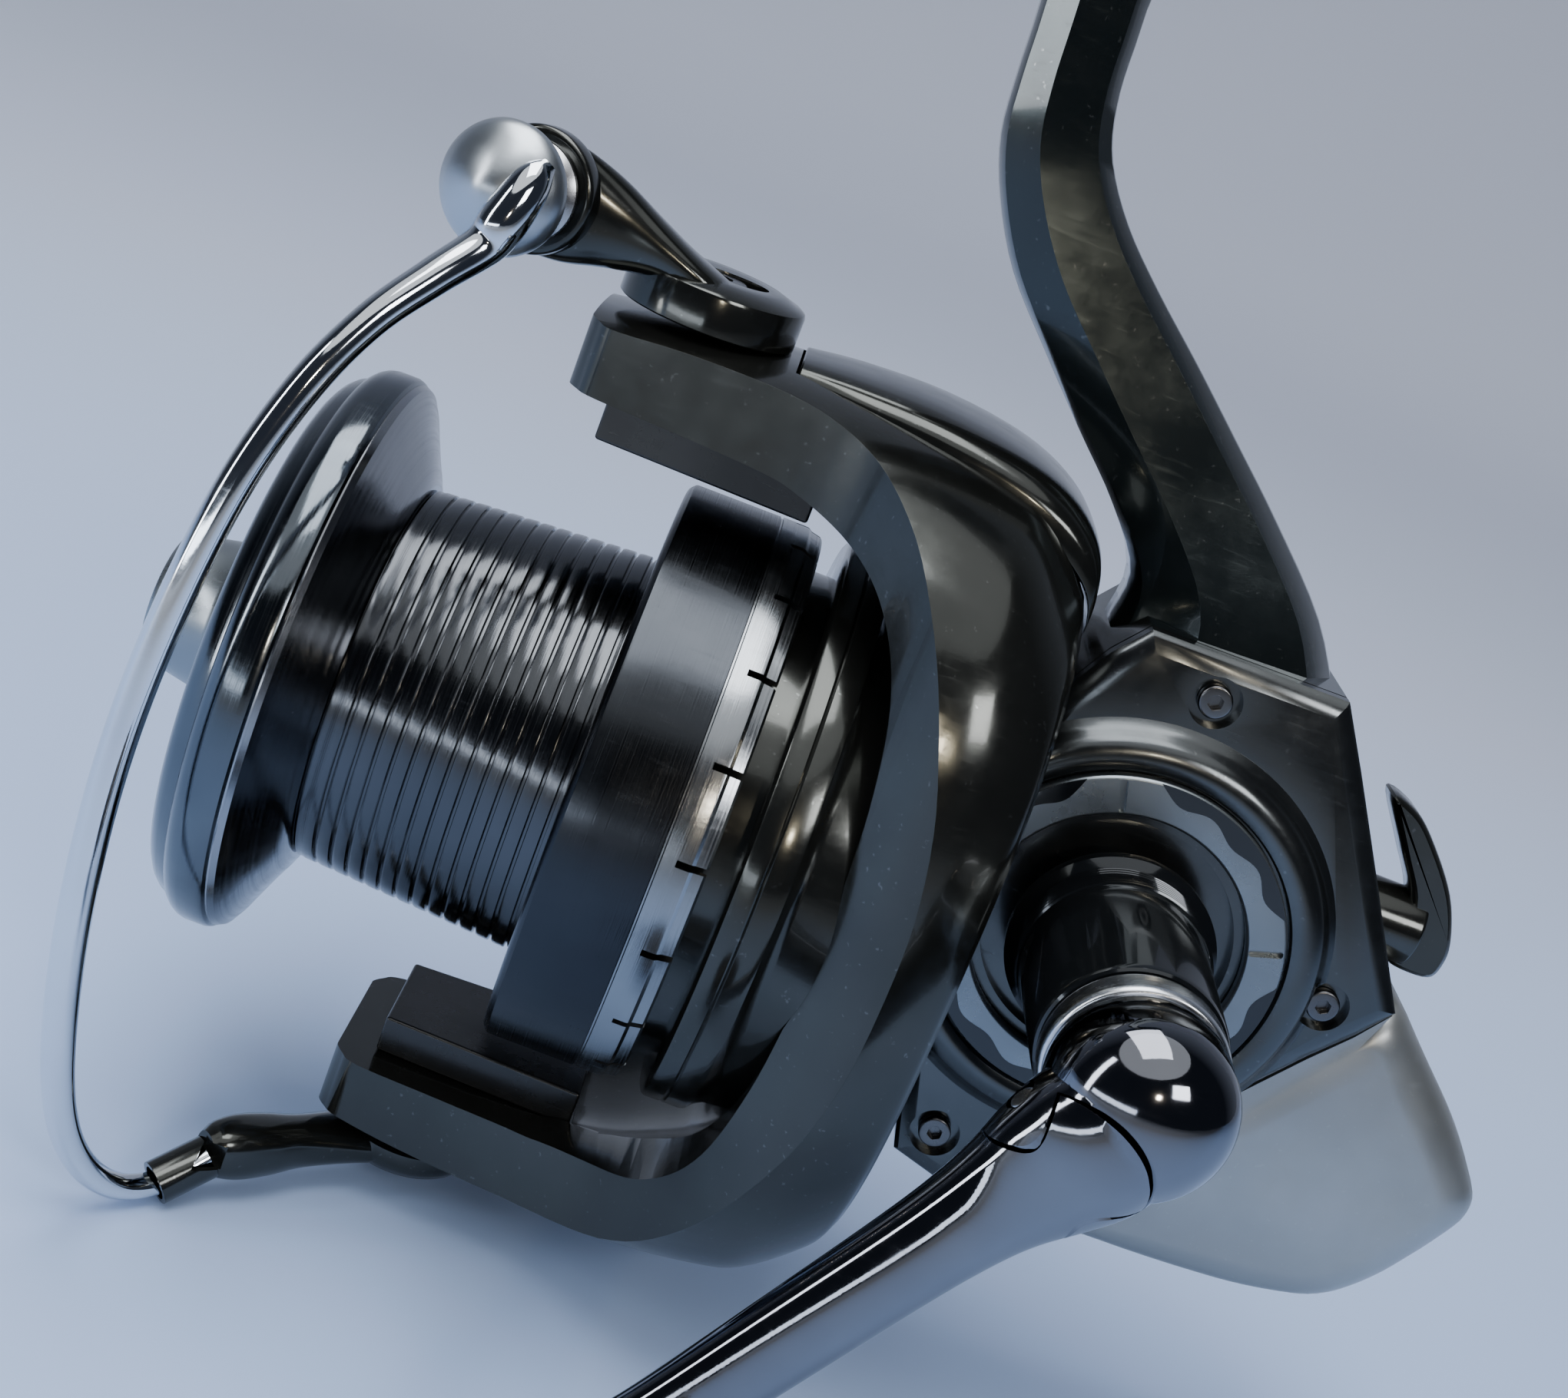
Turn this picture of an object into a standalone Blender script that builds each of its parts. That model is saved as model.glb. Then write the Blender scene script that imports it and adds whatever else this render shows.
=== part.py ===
"""Long-cast spinning reel, built as the assembly it is: gear case and foot, crank, rotor, bail, spool.

The design frame has X along the spool axis (front is -X), Y across the reel (the crank is at -Y) and
+Z up to the rod.  Its zero is where the crank axis crosses the spool's middle plane.  Sizes are in
millimetres; the mesh builder turns them into metres, and the whole reel hangs under one empty that
puts the world origin at the middle of the foot's seating face.
"""

from math import cos, pi, radians, sin, sqrt

import bmesh
import bpy
from mathutils import Matrix, Vector

# ---------------------------------------------------------------- driving dimensions (millimetres)
MM = 0.001
WELD = 0.002                    # vertices closer than this are one vertex
GAP = 0.35                      # running gap between neighbouring solids

FOOT_X = -41.0                  # middle of the foot along the reel
FOOT_Z = 120.0                  # height of the seating face over the spool axis
FOOT_LENGTH = 74.0
FOOT_HALF_WIDTH = 8.8

DRIVE_Z = 7.7                   # crank axis above the spool axis
PLATE_Y = -11.4                 # joint face between the gear case and its side plate
PLATE_FACE_Y = -14.2            # outer face of the side plate
BOSS_Y = -17.2                  # top of the round boss on the side plate
BOSS_R = 24.2
RING_OUT_R = 20.6               # grey trim ring in the boss
RING_IN_R = 15.9
CASE_BACK_Y = 13.0

SHAFT_R = 2.5                   # main shaft
PINION_R = 4.0                  # pinion tube
PINION_TEETH = 10
WORM_TEETH = 13
WORM_AT = (2.6, -11.5)           # oscillation worm's axis (y, z)
GUIDE_AT = (-2.8, -19.0)        # guide rod's axis (y, z)
GEAR_R = 22.0                   # drive gear
GEAR_TEETH = 46
DRIVE_SHAFT_R = 4.0

LIP_R = 35.5                    # spool lip
SKIRT_R = 35.8
SKIRT_FRONT = -64.3
SKIRT_REAR = -47.0
SKIRT_SLOTS = 20
DRUM_FRONT = -92.3
DRUM_REAR = -64.6
DRUM_FRONT_R = 23.7
DRUM_REAR_R = 25.4

BAIL_X = -69.0                  # bail pivot line, parallel to Z, through the spool axis
ARM_IN_Z = 44.4                 # inner face of the rotor arms
WIRE_R = 1.9                    # bail wire
BAIL_LEAN = 45.0                # degrees between the wire's plane and straight ahead

ROLLER_AT = Vector((-91.9, -14.2, 63.2))        # middle of the line roller
ROLLER_ALONG = Vector((-0.26, -0.966, 0.0)).normalized()

CRANK_ALONG = Vector((-0.574, 0.0, -0.819)).normalized()    # rest direction of the crank arm
CRANK_LENGTH = 67.4
FOLD_OFFSET = 9.0               # fold pin's distance from the crank axis
FOLD_Y = -57.0
BARREL_R = 5.0                  # knuckle's barrel round the fold pin
KNOB_Y = -67.6                  # where the knob leaves the arm, which leans out to clear the rotor

LEVER_Z = 17.0                  # anti-reverse lever's shaft

# ---------------------------------------------------------------- materials
FINISHES = {
    "gunmetal": ((0.055, 0.075, 0.080), 0.85, 0.25),
    "black_metal": ((0.02, 0.024, 0.028), 0.9, 0.22),
    "dark_alloy": ((0.10, 0.11, 0.12), 1.0, 0.2),
    "bright_alloy": ((0.62, 0.64, 0.67), 1.0, 0.22),
    "chrome": ((0.75, 0.77, 0.80), 1.0, 0.08),
    "dark_chrome": ((0.20, 0.21, 0.23), 1.0, 0.08),
    "satin_silver": ((0.42, 0.44, 0.44), 0.8, 0.35),
    "grey_satin": ((0.30, 0.33, 0.35), 0.7, 0.4),
    "steel": ((0.55, 0.55, 0.56), 1.0, 0.25),
    "brass": ((0.72, 0.53, 0.22), 1.0, 0.28),
    "black_plastic": ((0.018, 0.019, 0.02), 0.0, 0.5),
    "soft_black": ((0.025, 0.025, 0.027), 0.0, 0.7),
    "felt": ((0.12, 0.11, 0.10), 0.0, 0.9),
}


def material(name, finish):
    colour, metallic, roughness = FINISHES[finish]
    made = bpy.data.materials.new(name + "_finish")
    made.use_nodes = True
    shader = made.node_tree.nodes["Principled BSDF"]
    shader.inputs["Base Color"].default_value = (*colour, 1.0)
    shader.inputs["Metallic"].default_value = metallic
    shader.inputs["Roughness"].default_value = roughness
    return made


# ---------------------------------------------------------------- shape tools (all work in millimetres)
def outward(shape):
    """Point every face of a closed shape outwards."""
    bmesh.ops.recalc_face_normals(shape, faces=shape.faces)
    if shape.calc_volume(signed=True) < 0:
        bmesh.ops.reverse_faces(shape, faces=shape.faces)
    return shape


def placed(shape, at=(0, 0, 0), along=(0, 0, 1)):
    """Turn the shape's +Z to a direction and move it."""
    turn = Vector(along).to_track_quat("Z", "Y").to_matrix().to_4x4()
    shape.transform(Matrix.Translation(Vector(at)) @ turn)
    return shape


def turned(profile, at=(0, 0, 0), along=(0, 0, 1), steps=32):
    """Solid of revolution.  The profile is (height, radius) pairs; it ends on the axis or closes itself."""
    shape = bmesh.new()
    rings = []
    for height, radius in profile:
        if radius < 1e-6:
            rings.append([shape.verts.new((0, 0, height))])
        else:
            rings.append([shape.verts.new((radius * cos(2 * pi * (k + 0.5) / steps),
                                           radius * sin(2 * pi * (k + 0.5) / steps), height))
                          for k in range(steps)])
    on_axis = len(rings[0]) == 1 and len(rings[-1]) == 1
    pairs = list(zip(rings, rings[1:])) + ([] if on_axis else [(rings[-1], rings[0])])
    for one, two in pairs:
        for k in range(steps):
            n = (k + 1) % steps
            corners = [one[k % len(one)], one[n % len(one)], two[n % len(two)], two[k % len(two)]]
            face = [c for i, c in enumerate(corners) if c not in corners[:i]]
            if len(face) > 2:
                shape.faces.new(face)
    return placed(outward(shape), at, along)


def rod(radius, lo, hi, at=(0, 0, 0), along=(0, 0, 1), steps=20, chamfer=0.0):
    """Solid cylinder from lo to hi along its axis."""
    c = chamfer
    ends = [(lo, 0), (lo, radius - c), (lo + c, radius), (hi - c, radius), (hi, radius - c), (hi, 0)]
    if not c:
        ends = [(lo, 0), (lo, radius), (hi, radius), (hi, 0)]
    return turned(ends, at, along, steps)


def ring(inner, outer, lo, hi, at=(0, 0, 0), along=(0, 0, 1), steps=24, chamfer=0.0):
    """Round tube with square or chamfered outer corners."""
    c = chamfer
    profile = [(lo, inner), (lo, outer - c), (lo + c, outer), (hi - c, outer), (hi, outer - c), (hi, inner)]
    if not c:
        profile = [(lo, inner), (lo, outer), (hi, outer), (hi, inner)]
    return turned(profile, at, along, steps)


def hex_nut(across, bore, lo, hi, at=(0, 0, 0), along=(0, 0, 1)):
    """Six-sided nut with a round hole; across is the radius over its corners."""
    return cut(rod(across, lo, hi, at, along, steps=6), rod(bore, lo - 1, hi + 1, at, along, steps=20))


def prism(outline, lo, hi, normal="Y"):
    """Flat outline pushed along an axis.  Outline axes: Y -> (x, z), Z -> (x, y), X -> (y, z)."""
    spot = {"Y": lambda a, b, n: (a, n, b), "Z": lambda a, b, n: (a, b, n), "X": lambda a, b, n: (n, a, b)}
    shape = bmesh.new()
    low = [shape.verts.new(spot[normal](a, b, lo)) for a, b in outline]
    high = [shape.verts.new(spot[normal](a, b, hi)) for a, b in outline]
    shape.faces.new(low)
    shape.faces.new(high)
    for k in range(len(outline)):
        n = (k + 1) % len(outline)
        shape.faces.new((low[k], low[n], high[n], high[k]))
    return outward(shape)


def loft(sections):
    """Skin over closed sections that have the same number of points, with flat ends."""
    shape = bmesh.new()
    rows = [[shape.verts.new(p) for p in section] for section in sections]
    for one, two in zip(rows, rows[1:]):
        for k in range(len(one)):
            n = (k + 1) % len(one)
            shape.faces.new((one[k], one[n], two[n], two[k]))
    shape.faces.new(rows[0])
    shape.faces.new(rows[-1])
    return outward(shape)


def curve_through(points, per_span=4, closed=False):
    """Smooth curve (Catmull-Rom) through the given points."""
    pts = [Vector(p) for p in points]
    count = len(pts)
    out = []
    for k in range(count if closed else count - 1):
        a = pts[(k - 1) % count] if closed or k else pts[0] * 2 - pts[1]
        b, c = pts[k], pts[(k + 1) % count]
        d = pts[(k + 2) % count] if closed or k + 2 < count else pts[-1] * 2 - pts[-2]
        for s in range(per_span):
            t = s / per_span
            out.append(0.5 * (2 * b + (c - a) * t + (2 * a - 5 * b + 4 * c - d) * t ** 2
                              + (3 * b - a - 3 * c + d) * t ** 3))
    return out if closed else out + [pts[-1]]


def tube(path, radius, steps=10):
    """Round bar along a path."""
    sections = []
    side = None
    for k, point in enumerate(path):
        ahead = (path[min(k + 1, len(path) - 1)] - path[max(k - 1, 0)]).normalized()
        if side is None:
            side = ahead.orthogonal().normalized()
        side = (side - ahead * side.dot(ahead)).normalized()
        other = ahead.cross(side)
        sections.append([point + radius * (side * cos(2 * pi * s / steps) + other * sin(2 * pi * s / steps))
                         for s in range(steps)])
    return loft(sections)


def arc(centre, radius, start, end, steps):
    """Points on an arc, in degrees, both ends included."""
    return [(centre[0] + radius * cos(radians(start + (end - start) * k / steps)),
             centre[1] + radius * sin(radians(start + (end - start) * k / steps)))
            for k in range(steps + 1)]


def rounded(outline, radius, steps=3):
    """The outline with every corner rounded as far as its sides allow."""
    out = []
    count = len(outline)
    for k, corner in enumerate(outline):
        here = Vector(corner)
        before, after = Vector(outline[k - 1]) - here, Vector(outline[(k + 1) % count]) - here
        back = min(radius, before.length * 0.45, after.length * 0.45)
        one, two = here + before.normalized() * back, here + after.normalized() * back
        for s in range(steps + 1):
            t = s / steps
            out.append(tuple((1 - t) ** 2 * one + 2 * t * (1 - t) * here + t ** 2 * two))
    return out


def combine(base, other, how="DIFFERENCE"):
    """Boolean of two shapes; both are used up and the result is returned."""
    objects = []
    for shape in (base, other):
        mesh = bpy.data.meshes.new("operand")
        shape.to_mesh(mesh)
        shape.free()
        operand = bpy.data.objects.new("operand", mesh)
        bpy.context.scene.collection.objects.link(operand)
        objects.append(operand)
    modifier = objects[0].modifiers.new("combine", "BOOLEAN")
    modifier.operation = how
    modifier.solver = "EXACT"
    modifier.object = objects[1]
    bpy.context.view_layer.update()
    result = bmesh.new()
    result.from_mesh(objects[0].evaluated_get(bpy.context.evaluated_depsgraph_get()).data)
    for operand in objects:
        mesh = operand.data
        bpy.data.objects.remove(operand)
        bpy.data.meshes.remove(mesh)
    bmesh.ops.remove_doubles(result, verts=result.verts, dist=WELD)
    bmesh.ops.dissolve_degenerate(result, edges=result.edges, dist=WELD)
    bmesh.ops.triangulate(result, faces=[f for f in result.faces if len(f.verts) > 4])
    return result


def cut(base, *tools):
    """The base with every tool taken away."""
    for tool in tools:
        base = combine(base, tool, "DIFFERENCE")
    return base


def join(base, *others):
    """One solid out of overlapping ones."""
    for other in others:
        base = combine(base, other, "UNION")
    return base


def beside(*shapes):
    """Put separate solids into one shape without joining them."""
    whole = shapes[0]
    for shape in shapes[1:]:
        mesh = bpy.data.meshes.new("beside")
        shape.to_mesh(mesh)
        shape.free()
        whole.from_mesh(mesh)
        bpy.data.meshes.remove(mesh)
    return whole


# ---------------------------------------------------------------- axles: one empty for each moving body
AXLES = {
    "reel": (0, 0, 0),
    "crank": (0, 0, DRIVE_Z),
    "handle": tuple(Vector((0, FOLD_Y, DRIVE_Z)) + CRANK_ALONG * FOLD_OFFSET),
    "knob": tuple(Vector((0, KNOB_Y, DRIVE_Z)) + CRANK_ALONG * CRANK_LENGTH),
    "rotor": (-44.0, 0, 0),
    "bail": (BAIL_X, 0, 0),
    "roller": tuple(ROLLER_AT),
    "shaft": (0, 0, 0),
    "spool": (-78.0, 0, 0),
    "drag": (-104.0, 0, 0),
    "worm": (8.0, *WORM_AT),
    "lever": (34.0, 0, LEVER_Z),
    "trip": (-27.0, 0, 30.0),
}
AXLE_PARENT = {"handle": "crank", "knob": "handle", "bail": "rotor", "roller": "bail",
               "spool": "shaft", "drag": "shaft", "trip": "rotor"}
ORIGIN_SHIFT = Vector((-FOOT_X, 0, -FOOT_Z))


def make_axles():
    """Empties carry the moving bodies, so a body turns by turning its empty."""
    made = {}
    for name, spot in AXLES.items():
        empty = bpy.data.objects.new(name + "_pivot", None)
        empty.empty_display_size = 0.01
        bpy.context.scene.collection.objects.link(empty)
        made[name] = empty
        parent = AXLE_PARENT.get(name, None if name == "reel" else "reel")
        if parent:
            empty.parent = made[parent]
            empty.location = (Vector(spot) - Vector(AXLES[parent])) * MM
        else:
            empty.location = ORIGIN_SHIFT * MM
    return made


def add(name, shape, finish, axle="reel", sharp=32):
    """Turn a shape in design millimetres into a named object that hangs on its axle."""
    shape.transform(Matrix.Scale(MM, 4) @ Matrix.Translation(-Vector(AXLES[axle])))
    bmesh.ops.triangulate(shape, faces=[f for f in shape.faces if len(f.verts) > 4])
    mesh = bpy.data.meshes.new(name)
    shape.to_mesh(mesh)
    shape.free()
    mesh.materials.append(material(name, finish))
    mesh.shade_smooth()
    mesh.set_sharp_from_angle(angle=radians(sharp))
    made = bpy.data.objects.new(name, mesh)
    made.parent = axles[axle]
    bpy.context.scene.collection.objects.link(made)
    return made


X, Y, Z = (1, 0, 0), (0, 1, 0), (0, 0, 1)
ON_SPOOL = {"at": (0, 0, 0), "along": X}
ON_DRIVE = {"at": (0, 0, DRIVE_Z), "along": Y}


# ---------------------------------------------------------------- gear case, stem and foot
SEAM = [(36.0, 10.6), (33.0, 6.4), (28.9, 1.6), (16.3, -14.9), (6.0, -29.0)]   # joint with the rear guard


def case_outline(grow=0.0):
    """Side view of the gear case in front of the rear guard."""
    front = arc((0, DRIVE_Z), 25.2 + grow, 226, 138, 8)
    top = [(-16.0, 33.0 + grow), (-12.8, 39.0 + grow), (-9.5, 43.2 + grow), (14.4, 43.6 + grow),
           (19.4 + grow, 36.2), (27.0 + grow, 24.6)]
    bottom = [(-4.0, -31.4), (-12.0, -29.0)]
    return list(reversed(front)) + list(reversed(bottom)) + list(reversed(SEAM)) + list(reversed(top))


STEM = [  # front edge (x, z), rear edge (x, z), half width
    ((-12.4, 38.5), (16.0, 40.5), 11.0),
    ((-12.4, 46.0), (9.8, 49.3), 9.6),
    ((-17.8, 53.0), (0.6, 57.9), 8.2),
    ((-25.0, 59.7), (-7.6, 64.8), 7.2),
    ((-32.0, 66.4), (-15.2, 71.1), 6.4),
    ((-38.5, 73.0), (-22.6, 77.0), 5.9),
    ((-43.0, 80.0), (-28.6, 82.4), 5.5),
    ((-45.6, 86.5), (-32.9, 88.0), 5.2),
    ((-46.4, 93.0), (-34.9, 93.6), 5.1),
    ((-46.9, 100.0), (-35.6, 100.0), 5.1),
    ((-48.0, 108.0), (-35.6, 108.0), 5.5),
    ((-52.0, 115.5), (-31.0, 115.5), 7.0),
]
STEM_RING = [(0.0, 0.35), (0.33, 1.0), (0.85, 0.85), (1.0, 0.3)]     # share of the depth, share of the width


def stem_shape():
    sections = []
    for front, rear, half in STEM:
        front, rear = Vector((front[0], 0, front[1])), Vector((rear[0], 0, rear[1]))
        near = [front.lerp(rear, s) + Vector((0, -half * w, 0)) for s, w in STEM_RING]
        far = [front.lerp(rear, s) + Vector((0, half * w, 0)) for s, w in reversed(STEM_RING)]
        sections.append(near + far)
    return loft(sections)


def foot_shape():
    """A boat-shaped foot with a flat seating face on top and a deeper middle."""
    sections = []
    stations = 12
    for k in range(stations + 1):
        s = -1 + 2 * k / stations
        half = FOOT_HALF_WIDTH * sqrt(max(0.0, 1 - abs(s) ** 3.2)) + 1.6 * abs(s) ** 3
        thick = 2.2 + 3.6 * (1 - s * s)
        x = FOOT_X + s * FOOT_LENGTH / 2
        top, low = FOOT_Z, FOOT_Z - thick
        sections.append([Vector((x, y * half, z)) for y, z in
                         ((-0.92, top), (-1, top - 0.8), (-0.8, low + 0.9), (-0.4, low), (0.4, low),
                          (0.8, low + 0.9), (1, top - 0.8), (0.92, top))])
    return loft(sections)


def build_case():
    body = prism(case_outline(), PLATE_Y + GAP, CASE_BACK_Y)
    rear = prism([(20.0, 4.0), (30.0, 11.0), (37.0, 7.6), (49.0, -4.0), (55.2, -11.4), (52.4, -17.6),
                  (47.6, -25.2), (43.6, -28.6), (30.0, -30.4), (4.0, -30.6), (2.0, -20.0)], -8.6, 9.6)
    neck = rod(13.5, -30.0, -22.0, steps=32, **ON_SPOOL)
    body = join(body, rear, neck, stem_shape(), foot_shape())
    gear_room = rod(22.9, PLATE_Y - 2, -4.6, steps=28, **ON_DRIVE)
    room = prism([(-19.0, -8.0), (-8.0, -28.0), (2.0, -27.0), (11.0, -15.5), (23.5, 1.0), (28.5, 8.5),
                  (22.0, 20.0), (14.0, 31.0), (-8.0, 30.0), (-19.0, 19.0)], PLATE_Y - 2, 10.4)
    tail = prism([(1.0, -25.5), (30.0, -26.6), (42.0, -24.6), (49.0, -17.0), (50.0, -10.0), (42.0, 0.5),
                  (33.0, 7.0), (12.0, 9.0)], -6.6, 7.6)
    left_bore = rod(8.3, 9.0, 14.0, **ON_DRIVE)
    neck_bore = rod(7.3, -31.0, -18.0, **ON_SPOOL)
    lever_bore = rod(4.8 + GAP, 27.0, 45.0, at=(0, 0, LEVER_Z), along=X)
    screws = [rod(1.5, PLATE_Y - 1, 5.0, at=(x, 0, z), along=Y, steps=12) for x, z in CASE_SCREWS]
    guide_bore = rod(1.2 + GAP, -14.2, 48.5, at=(0, *GUIDE_AT), along=X, steps=12)
    body = cut(body, guide_bore, gear_room, room, tail, left_bore, neck_bore, lever_bore, *screws)
    add("gear_case", body, "gunmetal")


CASE_SCREWS = [(0.2, 38.2), (27.4, 8.6), (-8.4, -24.6)]


def build_side_plate():
    plate = prism(case_outline(), PLATE_FACE_Y, PLATE_Y)
    boss = turned([(PLATE_Y - 1, 0), (PLATE_Y - 1, BOSS_R + 2), (PLATE_FACE_Y, BOSS_R + 1.6),
                   (BOSS_Y + 1, BOSS_R), (BOSS_Y, BOSS_R - 1.2), (BOSS_Y, 0)], steps=32, **ON_DRIVE)
    hub = rod(12.0, -13.9, -9.9, **ON_DRIVE)
    seat = ring(RING_IN_R - GAP, RING_OUT_R + GAP, BOSS_Y - 1, BOSS_Y + 1.6, steps=32, **ON_DRIVE)
    well = rod(RING_IN_R - 1.2, BOSS_Y - 1, -13.9, steps=28, **ON_DRIVE)
    bore = rod(8.3, -20, -5, **ON_DRIVE)
    sinks = [rod(3.1, PLATE_FACE_Y - 1, PLATE_FACE_Y + 1.4, at=(x, 0, z), along=Y, steps=20)
             for x, z in CASE_SCREWS]
    holes = [rod(1.5, -16, -8, at=(x, 0, z), along=Y, steps=12) for x, z in CASE_SCREWS]
    neck = rod(13.5 + GAP, -31.0, -21.6, steps=32, **ON_SPOOL)
    shape = cut(join(plate, boss, hub), seat, well, bore, neck, *sinks, *holes)
    add("side_plate", shape, "gunmetal")
    add("trim_ring", trim_ring_shape(), "grey_satin")


def trim_ring_shape():
    shape = ring(RING_IN_R, RING_OUT_R, BOSS_Y - 0.2, BOSS_Y + 1.2, steps=40, chamfer=0.3, **ON_DRIVE)
    for k in range(4):
        turn = radians(18 + 90 * k)
        mid = 0.5 * (RING_IN_R + RING_OUT_R)
        slot = prism([(-2.0, -0.45), (2.0, -0.45), (2.0, 0.45), (-2.0, 0.45)], BOSS_Y - 1, BOSS_Y + 0.5)
        slot.transform(Matrix.Translation((mid * cos(turn), 0, DRIVE_Z + mid * sin(turn)))
                       @ Matrix.Rotation(-turn, 4, "Y"))
        shape = cut(shape, slot)
    return shape


def screw_shape(at, along, head_r=2.0, head=1.4, shank_r=1.1, length=7.0):
    """Socket screw; along points out of the head."""
    profile = [(-length, 0), (-length, shank_r), (0, shank_r), (0, head_r), (head, head_r), (head, 0)]
    screw = turned(profile, steps=12)
    socket = rod(0.9, head - 0.8, head + 1, steps=6)
    return placed(cut(screw, socket), at, along)


def build_case_fasteners():
    for name, (x, z) in zip(("top", "rear", "front"), CASE_SCREWS):
        screw = screw_shape((x, PLATE_FACE_Y + 1.4 - GAP, z), (0, -1, 0), length=10.0)
        add("case_screw_" + name, screw, "steel")


def guard_outline(inset=0.0):
    outer = [(37.2, 11.4), (43.2, 5.6), (52.1, -2.4), (59.2, -11.3), (56.3, -17.6), (51.6, -25.6),
             (46.4, -30.8), (36.6, -33.2), (24.0, -34.0), (7.6, -34.0)]
    middle = Vector((32.0, -14.0))
    return [tuple(Vector(p) + (middle - Vector(p)).normalized() * inset) for p in outer]


def build_rear_guard():
    seam = [(6.4, -29.6), (16.9, -15.1), (29.4, 1.3), (33.5, 6.1), (36.5, 10.4)]
    outer = prism(guard_outline() + seam, -11.6, 12.6)
    bmesh.ops.bevel(outer, geom=[e for e in outer.edges if abs(e.verts[0].co.y - e.verts[1].co.y) < 0.01],
                    offset=1.6, segments=2, profile=0.6, affect="EDGES")
    hollow = prism(guard_outline(2.2) + [(0.0, -31.9), (0.0, -20.0), (20.0, 14.0), (33.0, 14.0)], -9.2, 10.2)
    screw_hole = rod(1.4, -40, -28, at=(38.0, 0.5, 0), along=Z, steps=12)
    add("rear_guard", cut(outer, hollow, screw_hole), "satin_silver")
    screw = screw_shape((38.0, 0.5, -33.4), (0, 0, -1), head_r=1.9, head=1.1, length=2.0)
    add("rear_guard_screw", screw, "steel")


def bearing(name, inner, outer, lo, hi, place, axle="reel"):
    """Shielded ball bearing, as one ring."""
    add(name, ring(inner, outer, lo, hi, steps=24, **place), "steel", axle)


def build_case_internals():
    bearing("drive_bearing_near", DRIVE_SHAFT_R + GAP, 8.0, -13.5, -9.9, ON_DRIVE)
    bearing("drive_bearing_far", DRIVE_SHAFT_R + GAP, 8.0, 9.2, 12.8, ON_DRIVE)
    bearing("pinion_bearing", PINION_R + GAP, 7.0, -29.4, -25.4, ON_SPOOL)
    add("roller_clutch", ring(6.6, 13.0, -40.0, -30.4, chamfer=0.6, **ON_SPOOL), "steel")
    add("guide_rod", rod(1.2, -13.8, 48.0, at=(0, *GUIDE_AT), along=X, steps=12), "steel")
    cap = turned([(13.4, 0), (13.4, 9.4), (15.6, 9.0), (16.4, 7.6), (16.4, 0)], **ON_DRIVE)
    add("far_side_cap", cap, "gunmetal")
    add("trip_ramp", prism(rounded([(18, -3), (26, -2.2), (27, 1.5), (25, 5), (18, 5)], 0.8, 2),
                           -27.4, -25.6, "X"), "black_plastic")


# ---------------------------------------------------------------- crank, folding handle and knob
def build_crank():
    gear = ring(DRIVE_SHAFT_R + GAP, GEAR_R, -9.4, -6.9, steps=28, **ON_DRIVE)
    teeth = []
    for k in range(GEAR_TEETH):
        a = 2 * pi * (k + 0.5) / GEAR_TEETH
        teeth.append(loft([[Vector((r * cos(a + s), y, DRIVE_Z + r * sin(a + s)))
                            for s, y in ((-0.042, -7.1), (0.042, -7.1), (0.021, -5.5), (-0.021, -5.5))]
                           for r in (18.0, 21.6)]))
    add("drive_gear", join(gear, beside(*teeth)), "brass", "crank")
    shaft = rod(DRIVE_SHAFT_R, -46.0, 12.9, chamfer=0.4, **ON_DRIVE)
    add("drive_shaft", shaft, "steel", "crank")
    sleeve = [(-13.9, DRIVE_SHAFT_R + GAP), (-13.9, 8.0), (-18.6, 9.0), (-18.8, 11.6), (-19.3, 12.1),
              (-20.6, 12.1), (-21.2, 11.2), (-25.2, 10.9), (-26.0, 10.6), (-45.4, 10.3),
              (-45.8, 9.9), (-45.8, DRIVE_SHAFT_R + GAP)]
    add("handle_collar", turned(sleeve, steps=28, **ON_DRIVE), "black_metal", "crank")
    clamp_ring = turned([(-46.2, 0), (-46.2, 9.6), (-46.8, 9.9), (-49.4, 9.9), (-50.0, 9.5), (-50.0, 0)],
                        steps=28, **ON_DRIVE)
    add("handle_ring", clamp_ring, "bright_alloy", "crank")
    build_knuckle()


def fold_frame():
    """Axes at the fold pin: along the arm, along the pin, and outwards from the reel."""
    pin = Vector((0, -1, 0)).cross(CRANK_ALONG).normalized()
    return Vector((0, FOLD_Y, DRIVE_Z)) + CRANK_ALONG * FOLD_OFFSET, CRANK_ALONG, pin, Vector((0, -1, 0))


def folded(shape):
    """Place a shape drawn with x along the arm, y along the fold pin and z outwards from the reel."""
    centre, arm, pin, out = fold_frame()
    shape.transform(Matrix.Translation(centre) @ Matrix((arm, pin, out)).transposed().to_4x4())
    return shape


CRANK_BODY = [  # distance past the fold pin, half width, half thickness, rise
    (-9.0, 7.6, 6.2, 0.3), (-3.0, 8.4, 6.3, 0.3), (2.0, 7.6, 5.4, 0.5), (6.6, 6.3, 4.6, 1.0),
    (11.2, 5.5, 4.1, 1.8), (18.6, 5.0, 3.7, 3.1), (33.4, 4.7, 3.2, 5.6), (48.2, 4.5, 2.9, 8.1),
    (55.6, 5.0, 2.9, 9.3), (61.4, 5.2, 2.9, 9.6), (63.4, 3.3, 2.5, 9.6)]


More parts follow.
